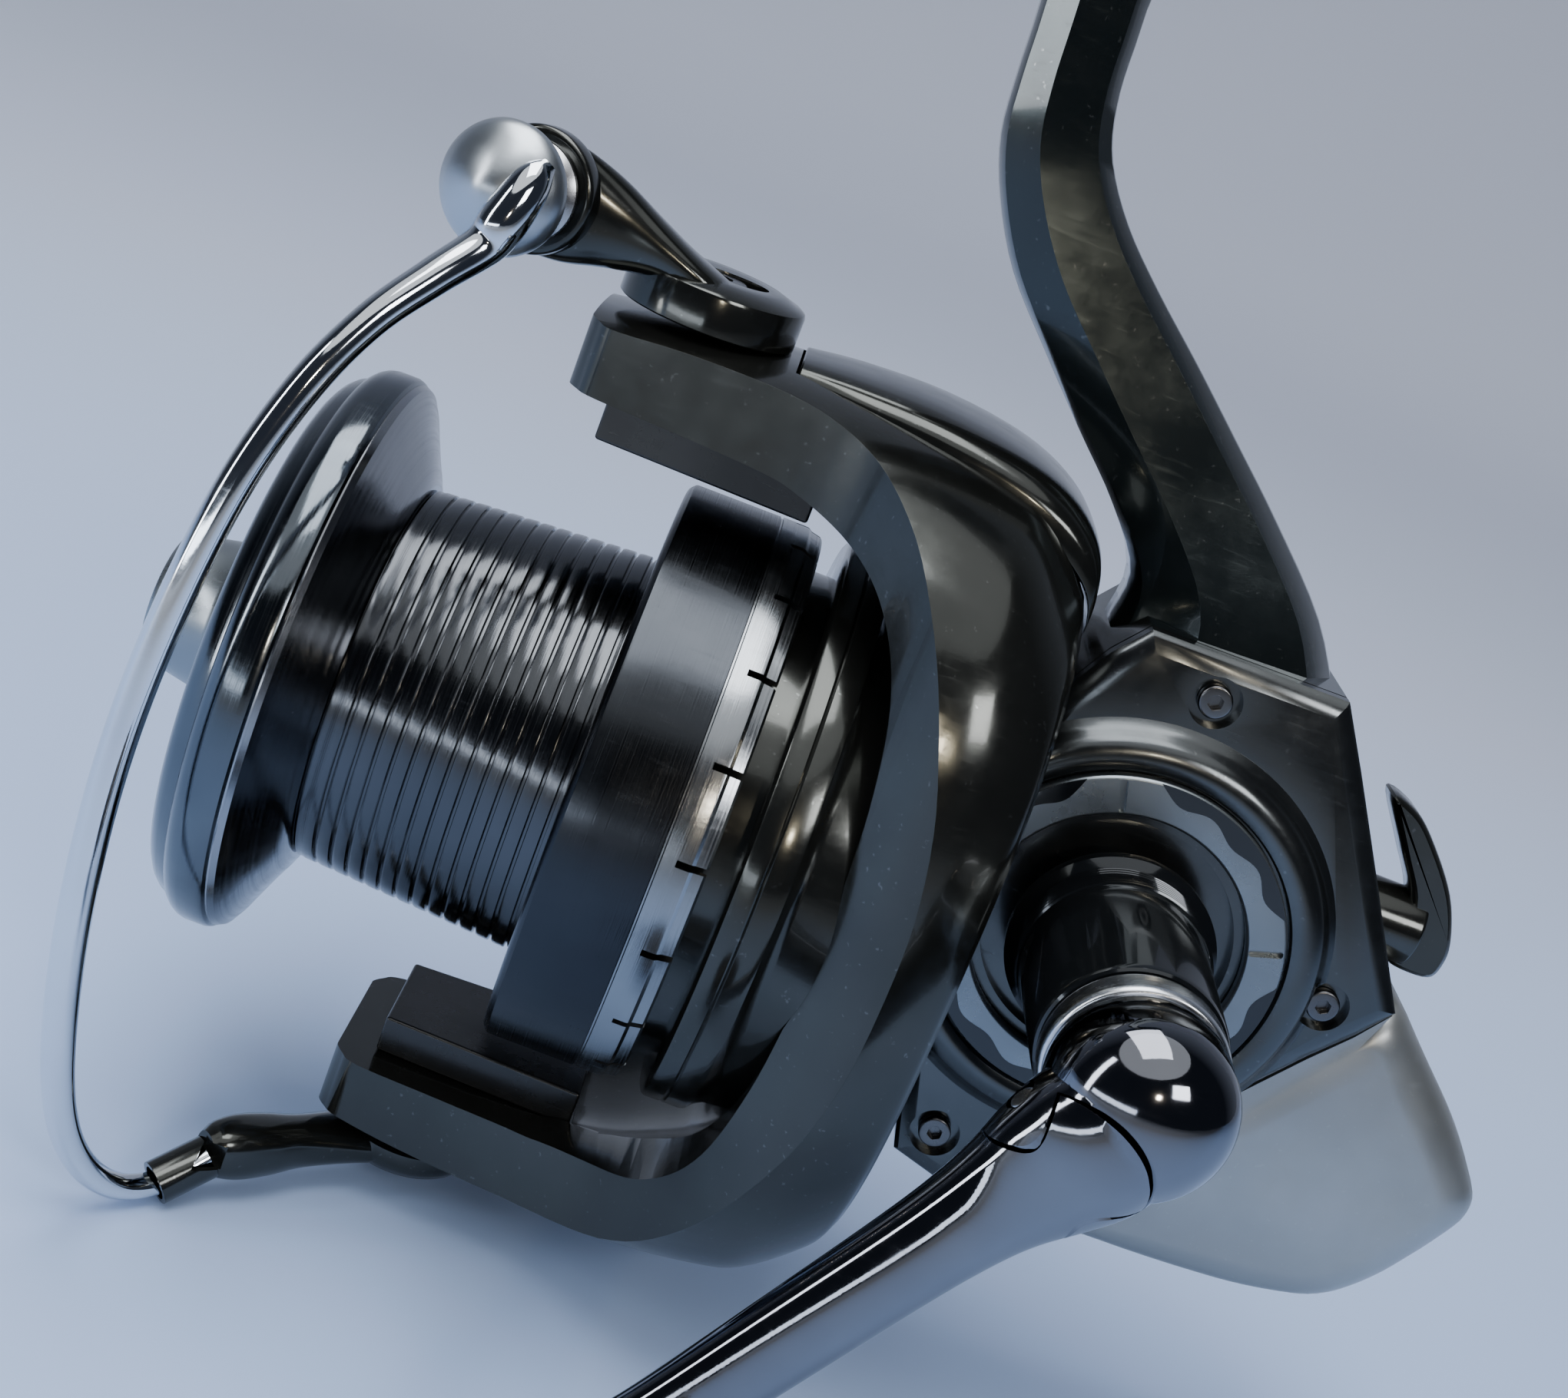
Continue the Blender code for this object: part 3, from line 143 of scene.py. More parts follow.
def loft(sections):
    """Skin over closed sections that have the same number of points, with flat ends."""
    shape = bmesh.new()
    rows = [[shape.verts.new(p) for p in section] for section in sections]
    for one, two in zip(rows, rows[1:]):
        for k in range(len(one)):
            n = (k + 1) % len(one)
            shape.faces.new((one[k], one[n], two[n], two[k]))
    shape.faces.new(rows[0])
    shape.faces.new(rows[-1])
    return outward(shape)


def spline(points, per_span=6, closed=False):
    """Catmull-Rom curve through points of any dimension."""
    pts = [Vector(p) for p in points]
    count = len(pts)
    out = []
    for k in range(count if closed else count - 1):
        a = pts[(k - 1) % count] if closed or k else pts[0] * 2 - pts[1]
        b, c = pts[k], pts[(k + 1) % count]
        d = pts[(k + 2) % count] if closed or k + 2 < count else pts[-1] * 2 - pts[-2]
        for s in range(per_span):
            t = s / per_span
            out.append(0.5 * (2 * b + (c - a) * t + (2 * a - 5 * b + 4 * c - d) * t ** 2
                              + (3 * b - a - 3 * c + d) * t ** 3))
    return out if closed else out + [pts[-1]]


def flat_spline(points, per_span=6, closed=False):
    return [(p.x, p.y) for p in spline([(x, y, 0) for x, y in points], per_span, closed)]


def tube(path, radii, steps=32):
    """Round bar along a path with a radius for every point."""
    sections = []
    side = None
    for k, point in enumerate(path):
        ahead = (path[min(k + 1, len(path) - 1)] - path[max(k - 1, 0)]).normalized()
        if side is None:
            side = ahead.orthogonal().normalized()
        side = (side - ahead * side.dot(ahead)).normalized()
        other = ahead.cross(side)
        sections.append([point + radii[k] * (side * cos(2 * pi * s / steps) + other * sin(2 * pi * s / steps))
                         for s in range(steps)])
    return loft(sections)


def squircle(power, steps, start=0.0):
    """Steps round an outline between a circle and a square: its reach, cosine and sine."""
    for k in range(steps):
        a = 2 * pi * (k + start) / steps
        c, s = cos(a), sin(a)
        yield (abs(c) ** power + abs(s) ** power) ** (-1 / power), c, s


def arc(centre, radius, start, end, steps):
    return [(centre[0] + radius * cos(radians(start + (end - start) * k / steps)),
             centre[1] + radius * sin(radians(start + (end - start) * k / steps)))
            for k in range(steps + 1)]


def rounded(outline, radius, steps=5):
    """The outline with every corner rounded as far as its sides allow."""
    out = []
    count = len(outline)
    for k, corner in enumerate(outline):
        here = Vector(corner)
        before, after = Vector(outline[k - 1]) - here, Vector(outline[(k + 1) % count]) - here
        back = min(radius, before.length * 0.48, after.length * 0.48)
        one, two = here + before.normalized() * back, here + after.normalized() * back
        for s in range(steps + 1):
            t = s / steps
            out.append(tuple((1 - t) ** 2 * one + 2 * t * (1 - t) * here + t ** 2 * two))
    return out


def softened(profile, radius, steps=4):
    """A turned profile with its corners rounded; the two end points stay."""
    inner = rounded(profile, radius, steps)
    return [profile[0]] + inner[steps + 1:-(steps + 1)] + [profile[-1]]


def combine(base, other, how="DIFFERENCE"):
    """Boolean of two shapes; both are used up and the result is returned."""
    objects = [added("operand", used_up(shape, "operand")) for shape in (base, other)]
    modifier = objects[0].modifiers.new("combine", "BOOLEAN")
    modifier.operation = how
    modifier.solver = "EXACT"
    modifier.object = objects[1]
    bpy.context.view_layer.update()
    result = bmesh.new()
    result.from_mesh(objects[0].evaluated_get(bpy.context.evaluated_depsgraph_get()).data)
    for operand in objects:
        mesh = operand.data
        bpy.data.objects.remove(operand)
        bpy.data.meshes.remove(mesh)
    bmesh.ops.remove_doubles(result, verts=result.verts, dist=WELD)
    bmesh.ops.dissolve_degenerate(result, edges=result.edges, dist=WELD)
    return result


def cut(base, *tools):
    """Take the tools away from the base, one after the other."""
    for tool in tools:
        base = combine(base, tool, "DIFFERENCE")
    return base


def join(base, *others):
    """Make one solid of all of them."""
    for other in others:
        base = combine(base, other, "UNION")
    return base


def beside(*shapes):
    """Put separate solids into one shape without joining them."""
    whole = shapes[0]
    for shape in shapes[1:]:
        mesh = used_up(shape, "beside")
        whole.from_mesh(mesh)
        bpy.data.meshes.remove(mesh)
    return whole


def show(name, shape, body, nodes, finish, slot, sharp=30.0, bevel=0.0, segments=3, paint=None):
    """Turn a shape into a shown piece that stands for CAD nodes and moves with their body.

    paint(centre) gives the finish number of a face, for a piece with more than one finish.
    """
    finishes = finish if isinstance(finish, (list, tuple)) else [finish]
    if paint:
        for face in shape.faces:
            face.material_index = paint(face.calc_center_median())
    shape.transform(Matrix.Scale(MM, 4) @ Matrix.Translation(SHIFT))
    mesh = used_up(shape, name)
    for item in finishes:
        mesh.materials.append(FINISH[item])
    mesh.shade_smooth()
    mesh.set_sharp_from_angle(angle=radians(sharp))
    piece = added(name, mesh)
    if bevel:
        mesh.validate()
        rim = piece.modifiers.new("edges", "BEVEL")
        rim.width = bevel * MM
        rim.segments = segments
        rim.limit_method = "ANGLE"
        rim.angle_limit = radians(sharp)
        rim.use_clamp_overlap = True
        rim.harden_normals = True
        rim.miter_outer = "MITER_ARC"
    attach(piece, body)
    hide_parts(*nodes)
    return piece


def show_node(node, shape, body, finish, slot, **how):
    """Show a piece that stands for the one node it is named after."""
    return show(node + "_visual", shape, body, [node], finish, slot, **how)


# ---------------------------------------------------------------- finishes
FINISH = {}


class Graph:
    """Small helper that adds nodes to one material and links them."""

    def __init__(self, name):
        self.made = bpy.data.materials.new(name)
        self.made.use_nodes = True
        self.tree = self.made.node_tree
        self.shader = self.tree.nodes["Principled BSDF"]
        self.place = self.node("ShaderNodeTexCoord").outputs["Object"]

    def node(self, kind, **values):
        item = self.tree.nodes.new(kind)
        for key, value in values.items():
            setattr(item, key, value)
        return item

    def link(self, out, socket):
        self.tree.links.new(out, socket)

    def feed(self, **inputs):
        """Give the shader's inputs, written with _ for a space, a number, a colour or a node's output."""
        for name, value in inputs.items():
            socket = self.shader.inputs[name.replace("_", " ")]
            if hasattr(value, "node"):
                self.link(value, socket)
            else:
                socket.default_value = value

    def noise(self, scale, detail=3.0, stretch=(1, 1, 1), roughness=0.5):
        """Noise with features about 1/scale metres across."""
        mapping = self.node("ShaderNodeMapping")
        mapping.inputs["Scale"].default_value = stretch
        self.link(self.place, mapping.inputs["Vector"])
        item = self.node("ShaderNodeTexNoise")
        item.inputs["Scale"].default_value = scale
        item.inputs["Detail"].default_value = detail
        item.inputs["Roughness"].default_value = roughness
        self.link(mapping.outputs["Vector"], item.inputs["Vector"])
        return item.outputs["Fac"]

    def spread(self, value, low, high, start=0.0, end=1.0):
        """Map a value from start..end to low..high, clamped."""
        item = self.node("ShaderNodeMapRange")
        for socket, number in (("From Min", start), ("From Max", end), ("To Min", low), ("To Max", high)):
            item.inputs[socket].default_value = number
        self.link(value, item.inputs["Value"])
        return item.outputs["Result"]

    def mix(self, factor, one, two):
        item = self.node("ShaderNodeMix", data_type="RGBA")
        self.link(factor, item.inputs["Factor"])
        for socket, colour in ((item.inputs[6], one), (item.inputs[7], two)):
            if hasattr(colour, "node"):
                self.link(colour, socket)
            else:
                socket.default_value = (*colour, 1.0)
        return item.outputs[2]

    def math(self, kind, one, two):
        item = self.node("ShaderNodeMath", operation=kind)
        for socket, value in zip(item.inputs, (one, two)):
            if hasattr(value, "node"):
                self.link(value, socket)
            else:
                socket.default_value = value
        return item.outputs[0]

    def bump(self, height, strength, distance, under=None):
        item = self.node("ShaderNodeBump")
        item.inputs["Strength"].default_value = strength
        item.inputs["Distance"].default_value = distance
        self.link(height, item.inputs["Height"])
        if under:
            self.link(under, item.inputs["Normal"])
        return item.outputs["Normal"]

    def lathe_marks(self, axis, pitch):
        """Fine rings round an axis of the row frame, given as (axis letter, centre of the other two)."""
        parts = self.node("ShaderNodeSeparateXYZ")
        self.link(self.place, parts.inputs[0])
        letter, centre = axis
        others = [a for a in "XYZ" if a != letter]
        squares = []
        for name, middle in zip(others, centre):
            off = self.math("SUBTRACT", parts.outputs[name], middle)
            squares.append(self.math("MULTIPLY", off, off))
        radius = self.math("SQRT", self.math("ADD", *squares), 0.0)
        along = self.math("ADD", radius, parts.outputs[letter])
        rings = self.node("ShaderNodeTexNoise", noise_dimensions="1D")
        rings.inputs["Scale"].default_value = 1.0 / pitch
        rings.inputs["Detail"].default_value = 4.0
        rings.inputs["Roughness"].default_value = 0.7
        self.link(along, rings.inputs["W"])
        return rings.outputs["Fac"]


def metal(name, colour, second, rough, rough_more, metallic=1.0, coat=0.0, grain=0.05,
          lathe=None, pitch=0.0003, lathe_strength=0.25, anisotropic=0.0, dust=0.0):
    """Metal or paint with uneven colour, smudges, hair scratches and, if turned, lathe marks."""
    g = Graph(name)
    tone = g.noise(45.0, 4.0)
    base = g.mix(g.spread(tone, 0, 1, 0.35, 0.65), colour, second)
    if dust:
        speck = g.noise(1400.0, 2.0)
        base = g.mix(g.spread(speck, 0, dust, 0.68, 0.74), base, (0.55, 0.56, 0.55))
    g.feed(Base_Color=base, Metallic=metallic, IOR=1.6, Coat_Weight=coat, Coat_Roughness=0.04)
    smudge = g.noise(120.0, 5.0, roughness=0.65)
    amount = g.spread(smudge, rough, rough_more, 0.4, 0.7)
    scratch = g.noise(900.0, 3.0, stretch=(0.18, 1.0, 1.6))
    amount = g.math("ADD", amount, g.spread(scratch, 0.0, 0.05, 0.6, 0.75))
    normal = g.bump(g.noise(2600.0, 2.0), grain, 0.00004)
    normal = g.bump(scratch, grain * 1.6, 0.00005, normal)
    if lathe:
        marks = g.lathe_marks(lathe, pitch)
        amount = g.math("ADD", amount, g.spread(marks, -0.03, 0.08, 0.3, 0.7))
        normal = g.bump(marks, lathe_strength, 0.00006, normal)
        if anisotropic:
            tangent = g.node("ShaderNodeTangent", direction_type="RADIAL", axis=lathe[0])
            g.feed(Anisotropic=anisotropic, Tangent=tangent.outputs[0])
    g.feed(Roughness=amount, Normal=normal)
    FINISH[name] = g.made
    return g


def dull(name, colour, second, rough, grain=0.2, scale=1800.0, sheen=0.0):
    """Plastic, rubber or felt: rough, with a fine even grain."""
    g = Graph(name)
    g.feed(Base_Color=g.mix(g.spread(g.noise(90.0, 4.0), 0, 1, 0.3, 0.7), colour, second),
           Roughness=g.spread(g.noise(220.0, 4.0), rough - 0.08, rough + 0.1, 0.3, 0.7),
           Normal=g.bump(g.noise(scale, 4.0), grain, 0.0001), Sheen_Weight=sheen)
    FINISH[name] = g.made
    return g


SPOOL_AXIS = ("X", (0.0, -0.120))
DRIVE_AXIS = ("Y", (0.041, -0.1123))
metal("gunmetal", (0.044, 0.046, 0.042), (0.060, 0.062, 0.056), 0.13, 0.22, metallic=0.9, coat=0.22, dust=0.1)
metal("gunmetal_light", (0.070, 0.076, 0.078), (0.092, 0.098, 0.098), 0.18, 0.28, metallic=0.95,
      coat=0.15, dust=0.1)
metal("stem_paint", (0.015, 0.021, 0.022), (0.022, 0.029, 0.030), 0.11, 0.18, metallic=0.75,
      coat=0.45, dust=0.1)
metal("black_gloss", (0.014, 0.017, 0.020), (0.022, 0.025, 0.028), 0.08, 0.16, metallic=0.8, coat=0.6)
metal("drum", (0.070, 0.074, 0.080), (0.090, 0.094, 0.100), 0.10, 0.14, lathe=SPOOL_AXIS, pitch=0.00022,
      lathe_strength=0.1, anisotropic=0.5)
metal("skirt_dark", (0.036, 0.039, 0.044), (0.046, 0.050, 0.056), 0.15, 0.22, lathe=SPOOL_AXIS, pitch=0.00018,
      lathe_strength=0.1, anisotropic=0.55)
metal("skirt_light", (0.27, 0.285, 0.30), (0.33, 0.345, 0.36), 0.13, 0.2, lathe=SPOOL_AXIS, pitch=0.00018,
      lathe_strength=0.1, anisotropic=0.6)
metal("lip_dark", (0.10, 0.115, 0.13), (0.14, 0.155, 0.17), 0.08, 0.15, lathe=SPOOL_AXIS, pitch=0.0004,
      lathe_strength=0.05, anisotropic=0.3)
metal("lip_bright", (0.28, 0.29, 0.31), (0.34, 0.35, 0.37), 0.12, 0.18, lathe=SPOOL_AXIS, pitch=0.0003,
      lathe_strength=0.1, anisotropic=0.6)
metal("bright_alloy", (0.55, 0.57, 0.60), (0.66, 0.68, 0.70), 0.14, 0.24, lathe=DRIVE_AXIS, pitch=0.0003)
metal("chrome", (0.66, 0.69, 0.73), (0.74, 0.77, 0.80), 0.05, 0.12, grain=0.03)
metal("cap_chrome", (0.40, 0.43, 0.46), (0.48, 0.51, 0.53), 0.30, 0.38, grain=0.04)
metal("crank_chrome", (0.165, 0.17, 0.19), (0.205, 0.21, 0.23), 0.04, 0.09, grain=0.03)
metal("satin_silver", (0.29, 0.30, 0.295), (0.35, 0.36, 0.355), 0.34, 0.42, metallic=0.8, dust=0.1)
metal("grey_satin", (0.20, 0.225, 0.245), (0.25, 0.275, 0.29), 0.26, 0.34, metallic=0.9)
metal("steel", (0.42, 0.42, 0.43), (0.52, 0.52, 0.53), 0.2, 0.3)
metal("dark_steel", (0.10, 0.10, 0.105), (0.15, 0.15, 0.15), 0.22, 0.34)
metal("brass", (0.55, 0.38, 0.14), (0.66, 0.48, 0.20), 0.2, 0.32)
dull("black_plastic", (0.012, 0.013, 0.014), (0.020, 0.021, 0.022), 0.45)
metal("inner_plate", (0.035, 0.036, 0.036), (0.055, 0.054, 0.052), 0.24, 0.34, metallic=0.85)
dull("soft_grip", (0.016, 0.016, 0.018), (0.026, 0.026, 0.028), 0.62, grain=0.4, scale=2600.0)
dull("felt", (0.10, 0.09, 0.08), (0.15, 0.14, 0.12), 0.9, grain=0.6, scale=3200.0, sheen=0.4)


# ---------------------------------------------------------------- gear case, stem and foot
def inset(outline, distance):
    """The outline moved inwards by a distance."""
    area = sum(a[0] * b[1] - b[0] * a[1] for a, b in zip(outline, outline[1:] + outline[:1]))
    turn = 1 if area > 0 else -1
    out = []
    for k, here in enumerate(outline):
        before, after = Vector(outline[k - 1]), Vector(outline[(k + 1) % len(outline)])
        one, two = (Vector(here) - before).normalized(), (after - Vector(here)).normalized()
        n1, n2 = Vector((-one.y, one.x)) * turn, Vector((-two.y, two.x)) * turn
        bisector = (n1 + n2).normalized()
        out.append(tuple(Vector(here) + bisector * distance / max(0.4, bisector.dot(n1))))
    return out


def slab(outline, levels):
    """Loft over copies of an outline: levels are (y, inset) pairs."""
    return loft([[Vector((x, y, z)) for x, z in (inset(outline, d) if d else outline)] for y, d in levels])


SEAM = [(36.0, 10.6), (33.0, 6.4), (28.9, 1.6), (16.3, -14.9), (6.0, -29.0)]


def case_outline(steps=28):
    front = arc((0, DRIVE_Z), 25.2, 226, 138, steps)
    top = [(-16.0, 33.0), (-12.8, 39.0), (-9.5, 43.2), (14.4, 43.6), (19.4, 36.2), (27.0, 24.6)]
    bottom = [(-4.0, -31.4), (-12.0, -29.0)]
    return list(reversed(front)) + list(reversed(bottom)) + list(reversed(SEAM)) + list(reversed(top))


STEM = [  # front edge (x, z), rear edge (x, z), half width
    ((-12.4, 38.5), (16.0, 40.5), 11.0), ((-12.4, 46.0), (9.8, 49.3), 9.6),
    ((-17.8, 53.0), (0.6, 57.9), 8.2), ((-25.0, 59.7), (-7.6, 64.8), 7.2),
    ((-32.0, 66.4), (-15.2, 71.1), 6.4), ((-38.5, 73.0), (-22.6, 77.0), 5.9),
    ((-43.0, 80.0), (-28.6, 82.4), 5.5), ((-45.6, 86.5), (-32.9, 88.0), 5.2),
    ((-46.4, 93.0), (-34.9, 93.6), 5.1), ((-46.9, 100.0), (-35.6, 100.0), 5.1),
    ((-48.0, 108.0), (-35.6, 108.0), 5.5), ((-52.0, 115.5), (-31.0, 115.5), 7.0)]
STEM_RING = [(0.0, 0.36), (0.045, 0.62), (0.33, 1.0), (0.85, 0.86), (0.985, 0.45), (1.0, 0.3)]


def stem_shape():
    rows = spline([(f[0], f[1], r[0]) for f, r, h in STEM], 4), spline([(r[1], h, 0) for f, r, h in STEM], 4)
    sections = []
    for one, two in zip(*rows):
        front, rear, half = Vector((one.x, 0, one.y)), Vector((one.z, 0, two.x)), two.y
        near = [front.lerp(rear, s) + Vector((0, -half * w, 0)) for s, w in STEM_RING]
        far = [front.lerp(rear, s) + Vector((0, half * w, 0)) for s, w in reversed(STEM_RING)]
        sections.append(near + far)
    return loft(sections)


def foot_shape():
    sections = []
    for k in range(49):
        s = -1 + 2 * k / 48
        half = 8.8 * sqrt(max(0.0, 1 - abs(s) ** 3.2)) + 1.6 * abs(s) ** 3
        low = 120.0 - 2.2 - 3.6 * (1 - s * s)
        x = -41.0 + s * 37.0
        ring_points = [(-0.92, 120.0), (-1, 119.2), (-0.94, low + 1.8), (-0.8, low + 0.9), (-0.6, low + 0.3),
                       (-0.4, low)]
        ring_points += [(-y, z) for y, z in reversed(ring_points)]
        sections.append([Vector((x, y * half, z)) for y, z in ring_points])
    return loft(sections)


CASE_SCREWS = [(0.2, 38.2), (27.4, 8.6), (-8.4, -24.6)]


def build_case():
    body = slab(case_outline(), [(-11.05, 0), (11.0, 0), (12.4, 0.8), (13.0, 2.4)])
    rear = prism([(20.0, 4.0), (30.0, 11.0), (37.0, 7.6), (49.0, -4.0), (55.2, -11.4), (52.4, -17.6),
                  (47.6, -25.2), (43.6, -28.6), (30.0, -30.4), (4.0, -30.6), (2.0, -20.0)], -8.6, 9.6)
    neck = rod(13.5, -30.0, -22.0, **ON_SPOOL)
    body = join(body, rear, neck, stem_shape(), foot_shape())
    room = prism([(-19.0, -8.0), (-8.0, -28.0), (2.0, -27.0), (11.0, -15.5), (23.5, 1.0), (28.5, 8.5),
                  (22.0, 20.0), (14.0, 31.0), (-8.0, 30.0), (-19.0, 19.0)], -14.0, 10.4)
    tail = prism([(1.0, -25.5), (30.0, -26.6), (42.0, -24.6), (49.0, -17.0), (50.0, -10.0), (42.0, 0.5),
                  (33.0, 7.0), (12.0, 9.0)], -6.6, 7.6)
    tools = [rod(22.9, -13.4, -4.6, **ON_DRIVE), room, tail, rod(8.3, 9.0, 14.0, **ON_DRIVE),
             rod(7.3, -31.0, -18.0, **ON_SPOOL), rod(5.15, 27.0, 45.0, at=(0, 0, 17.0), along=X),
             rod(1.55, -14.2, 48.5, at=(0, -3.4, -19.0), along=X, steps=24)]
    tools += [rod(1.5, -12.4, 5.0, at=(x, 0, z), along=Y, steps=24) for x, z in CASE_SCREWS]

    def paint(at):
        return 1 if at.z > 42.0 else 0
    show_node("gear_case", cut(body, *tools), "reel", ["gunmetal", "stem_paint"], "gunmetal_paint",
              bevel=0.55, sharp=24, paint=paint)


def build_side_plate():
    plate = slab(case_outline(), [(-11.4, 0), (-12.9, 0), (-13.5, 0.5), (-14.2, 2.2)])
    plate = cut(plate, rod(25.0, -16.0, -10.0, **ON_DRIVE))
    boss = [(-11.4, 12.0), (-11.4, 26.6), (-13.0, 26.9), (-14.2, 26.6), (-14.7, 25.9), (-15.2, 25.4),
            (-16.0, 25.0), (-16.6, 24.4), (-17.0, 23.6), (-17.2, 22.7), (-17.1, 21.9), (-16.8, 21.2),
            (-16.4, 20.95), (-15.6, 20.95), (-15.6, 14.7), (-13.9, 14.7), (-13.9, 8.3), (-9.9, 8.3),
            (-9.9, 12.0)]
    boss = turned(boss, steps=192, **ON_DRIVE)
    tools = [rod(3.1, -15.2, -12.8, at=(x, 0, z), along=Y, steps=40) for x, z in CASE_SCREWS]
    tools += [rod(1.5, -16, -8, at=(x, 0, z), along=Y, steps=24) for x, z in CASE_SCREWS]
    tools.append(rod(13.85, -31.0, -21.6, **ON_SPOOL))
    show_node("side_plate", cut(join(plate, boss), *tools), "reel", "gunmetal_light", "gunmetal_paint",
              bevel=0.3, sharp=28)
    for name, (x, z) in zip(("top", "rear", "front"), CASE_SCREWS):
        head = turned(softened([(-1.4, 0), (-1.4, 2.0), (0, 2.0), (0, 0)], 0.35), steps=48)
        socket = rod(0.95, -0.9, 1, steps=6)
        shank = rod(1.1, -9.0, -1.2, steps=32)
        screw = placed(join(cut(head, socket), shank), (x, -13.15 - 1.05, z), (0, -1, 0))
        show_node("case_screw_" + name, screw, "reel", "dark_steel", "steel", bevel=0.06, sharp=35)


def build_trim_ring():
    ring_shape = turned(softened([(-15.95, 15.9), (-17.1, 15.9), (-17.4, 16.2), (-17.4, 20.3), (-17.1, 20.6),
                                  (-15.95, 20.6)], 0.12), steps=192, **ON_DRIVE)
    slots = []
    for k in range(4):
        a = radians(18 + 90 * k)
        slot = prism(rounded([(-2.0, -0.42), (2.0, -0.42), (2.0, 0.42), (-2.0, 0.42)], 0.4), -18.4, -16.6)
        place = Matrix.Translation((18.2 * cos(a), 0, DRIVE_Z + 18.2 * sin(a)))
        slot.transform(place @ Matrix.Rotation(-a, 4, "Y"))
        slots.append(slot)
    crescents = []
    for k in range(4):
        middle = 63 + 90 * k
        outer = arc((0, 0), 20.42, middle - 33, middle + 33, 32)
        inner = []
        for s in range(41):
            t = -1 + s / 20
            deep = 2.3 * (1 - t ** 6) * (0.78 + 0.22 * cos(t * 2.6 * pi))
            a = radians(middle + 33 - 66 * s / 40)
            inner.append(((20.38 - deep) * cos(a), (20.38 - deep) * sin(a)))
        crescent = prism(outer + inner[1:-1], -17.45, -17.2)
        crescent.transform(Matrix.Translation((0, 0, DRIVE_Z)))
        crescents.append(crescent)
    ring_shape = cut(ring_shape, *slots)
    show_node("trim_ring", ring_shape, "reel", "grey_satin", "grey_satin", sharp=35)
    show("trim_ring_crescents", beside(*crescents), "reel", ["trim_ring"], "black_gloss", "grey_satin",
         sharp=35)


GUARD_MIDDLE = Vector((32.0, -14.0))
GUARD_EDGE = [(-11.6, 5.6), (-11.35, 4.4), (-10.8, 3.0), (-10.0, 1.8), (-9.0, 0.9), (-7.8, 0.25), (-6.4, 0.0),
              (7.4, 0.0), (8.8, 0.25), (10.0, 0.9), (11.0, 1.8), (11.8, 3.0), (12.35, 4.4),
              (12.6, 5.6)]       # y and how far the outline draws in there


def drawn_in(points, distance):
    """Points moved towards the middle of the guard."""
    return [tuple(Vector(p) + (GUARD_MIDDLE - Vector(p)).normalized() * distance) for p in points]


def guard_outline(distance=0.0):
    outer = [(37.2, 11.4), (43.2, 5.6), (52.1, -2.4), (59.2, -11.3), (56.3, -17.6), (51.6, -25.6),
             (46.4, -30.8), (36.6, -33.2), (24.0, -34.0), (7.6, -34.0)]
    return drawn_in(outer, distance)


def build_rear_guard():
    seam = [(6.4, -29.6), (16.9, -15.1), (29.4, 1.3), (33.5, 6.1), (36.5, 10.4)]
    sections = []
    for y, deep in GUARD_EDGE:
        around = rounded(guard_outline(deep), 5.0, 6) + drawn_in(seam, min(0.7, 0.25 * deep))
        sections.append([Vector((p[0], y, p[1])) for p in around])
    outer = loft(sections)
    hollow = prism(guard_outline(2.2) + [(0.0, -31.9), (0.0, -20.0), (20.0, 14.0), (33.0, 14.0)], -9.2, 10.2)
    shape = cut(outer, hollow, rod(1.4, -40, -28, at=(38.0, 0.5, 0), along=Z, steps=32))
    show_node("rear_guard", shape, "reel", "satin_silver", "satin_silver", sharp=40)


# ---------------------------------------------------------------- crank, folding handle and knob
def build_crank():
    flange = [(-13.9, 4.35), (-13.9, 8.0), (-18.6, 9.0), (-18.8, 11.6), (-19.3, 12.1), (-20.6, 12.1),
              (-21.2, 11.2)]
    threads = []
    for k in range(7):
        y = -21.4 - 0.62 * k
        threads += [(y, 10.85), (y - 0.12, 11.1), (y - 0.42, 11.1), (y - 0.54, 10.85)]
    rest = [(-26.0, 10.75), (-26.4, 10.55), (-45.0, 10.3), (-45.6, 10.1), (-45.8, 9.8), (-45.8, 4.35)]
    show_node("handle_collar", turned(flange + threads + rest, **ON_DRIVE), "crank", "black_gloss",
              "black_gloss", sharp=28)
    band = [(-46.2, 0), (-46.2, 9.7), (-46.7, 9.9), (-48.0, 9.95), (-49.4, 9.9), (-50.0, 9.6), (-50.0, 0)]
    show_node("handle_ring", turned(softened(band, 0.3), **ON_DRIVE), "crank", "bright_alloy", "bright_alloy",
              sharp=40)


FOLD_TURN = Matrix((CRANK_ALONG, FOLD_PIN, OUT)).transposed().to_4x4()


def folded(shape):
    """Place a shape drawn with x along the arm, y along the fold pin and z outwards from the reel."""
    shape.transform(Matrix.Translation(FOLD_AT) @ FOLD_TURN)
    return shape


CRANK_BODY = [  # distance past the fold pin, half width, half thickness, rise
    (-9.0, 7.6, 6.2, 0.3), (-3.0, 8.4, 6.3, 0.3), (2.0, 7.6, 5.4, 0.5), (6.6, 6.3, 4.6, 1.0),
    (11.2, 5.5, 4.1, 1.8), (18.6, 5.0, 3.7, 3.1), (33.4, 4.7, 3.2, 5.6), (48.2, 4.5, 2.9, 8.1),
    (55.6, 5.0, 2.9, 9.3), (60.8, 5.2, 2.9, 9.6), (62.6, 4.4, 2.7, 9.6), (63.4, 2.9, 2.1, 9.6)]
BARREL_R = 5.0


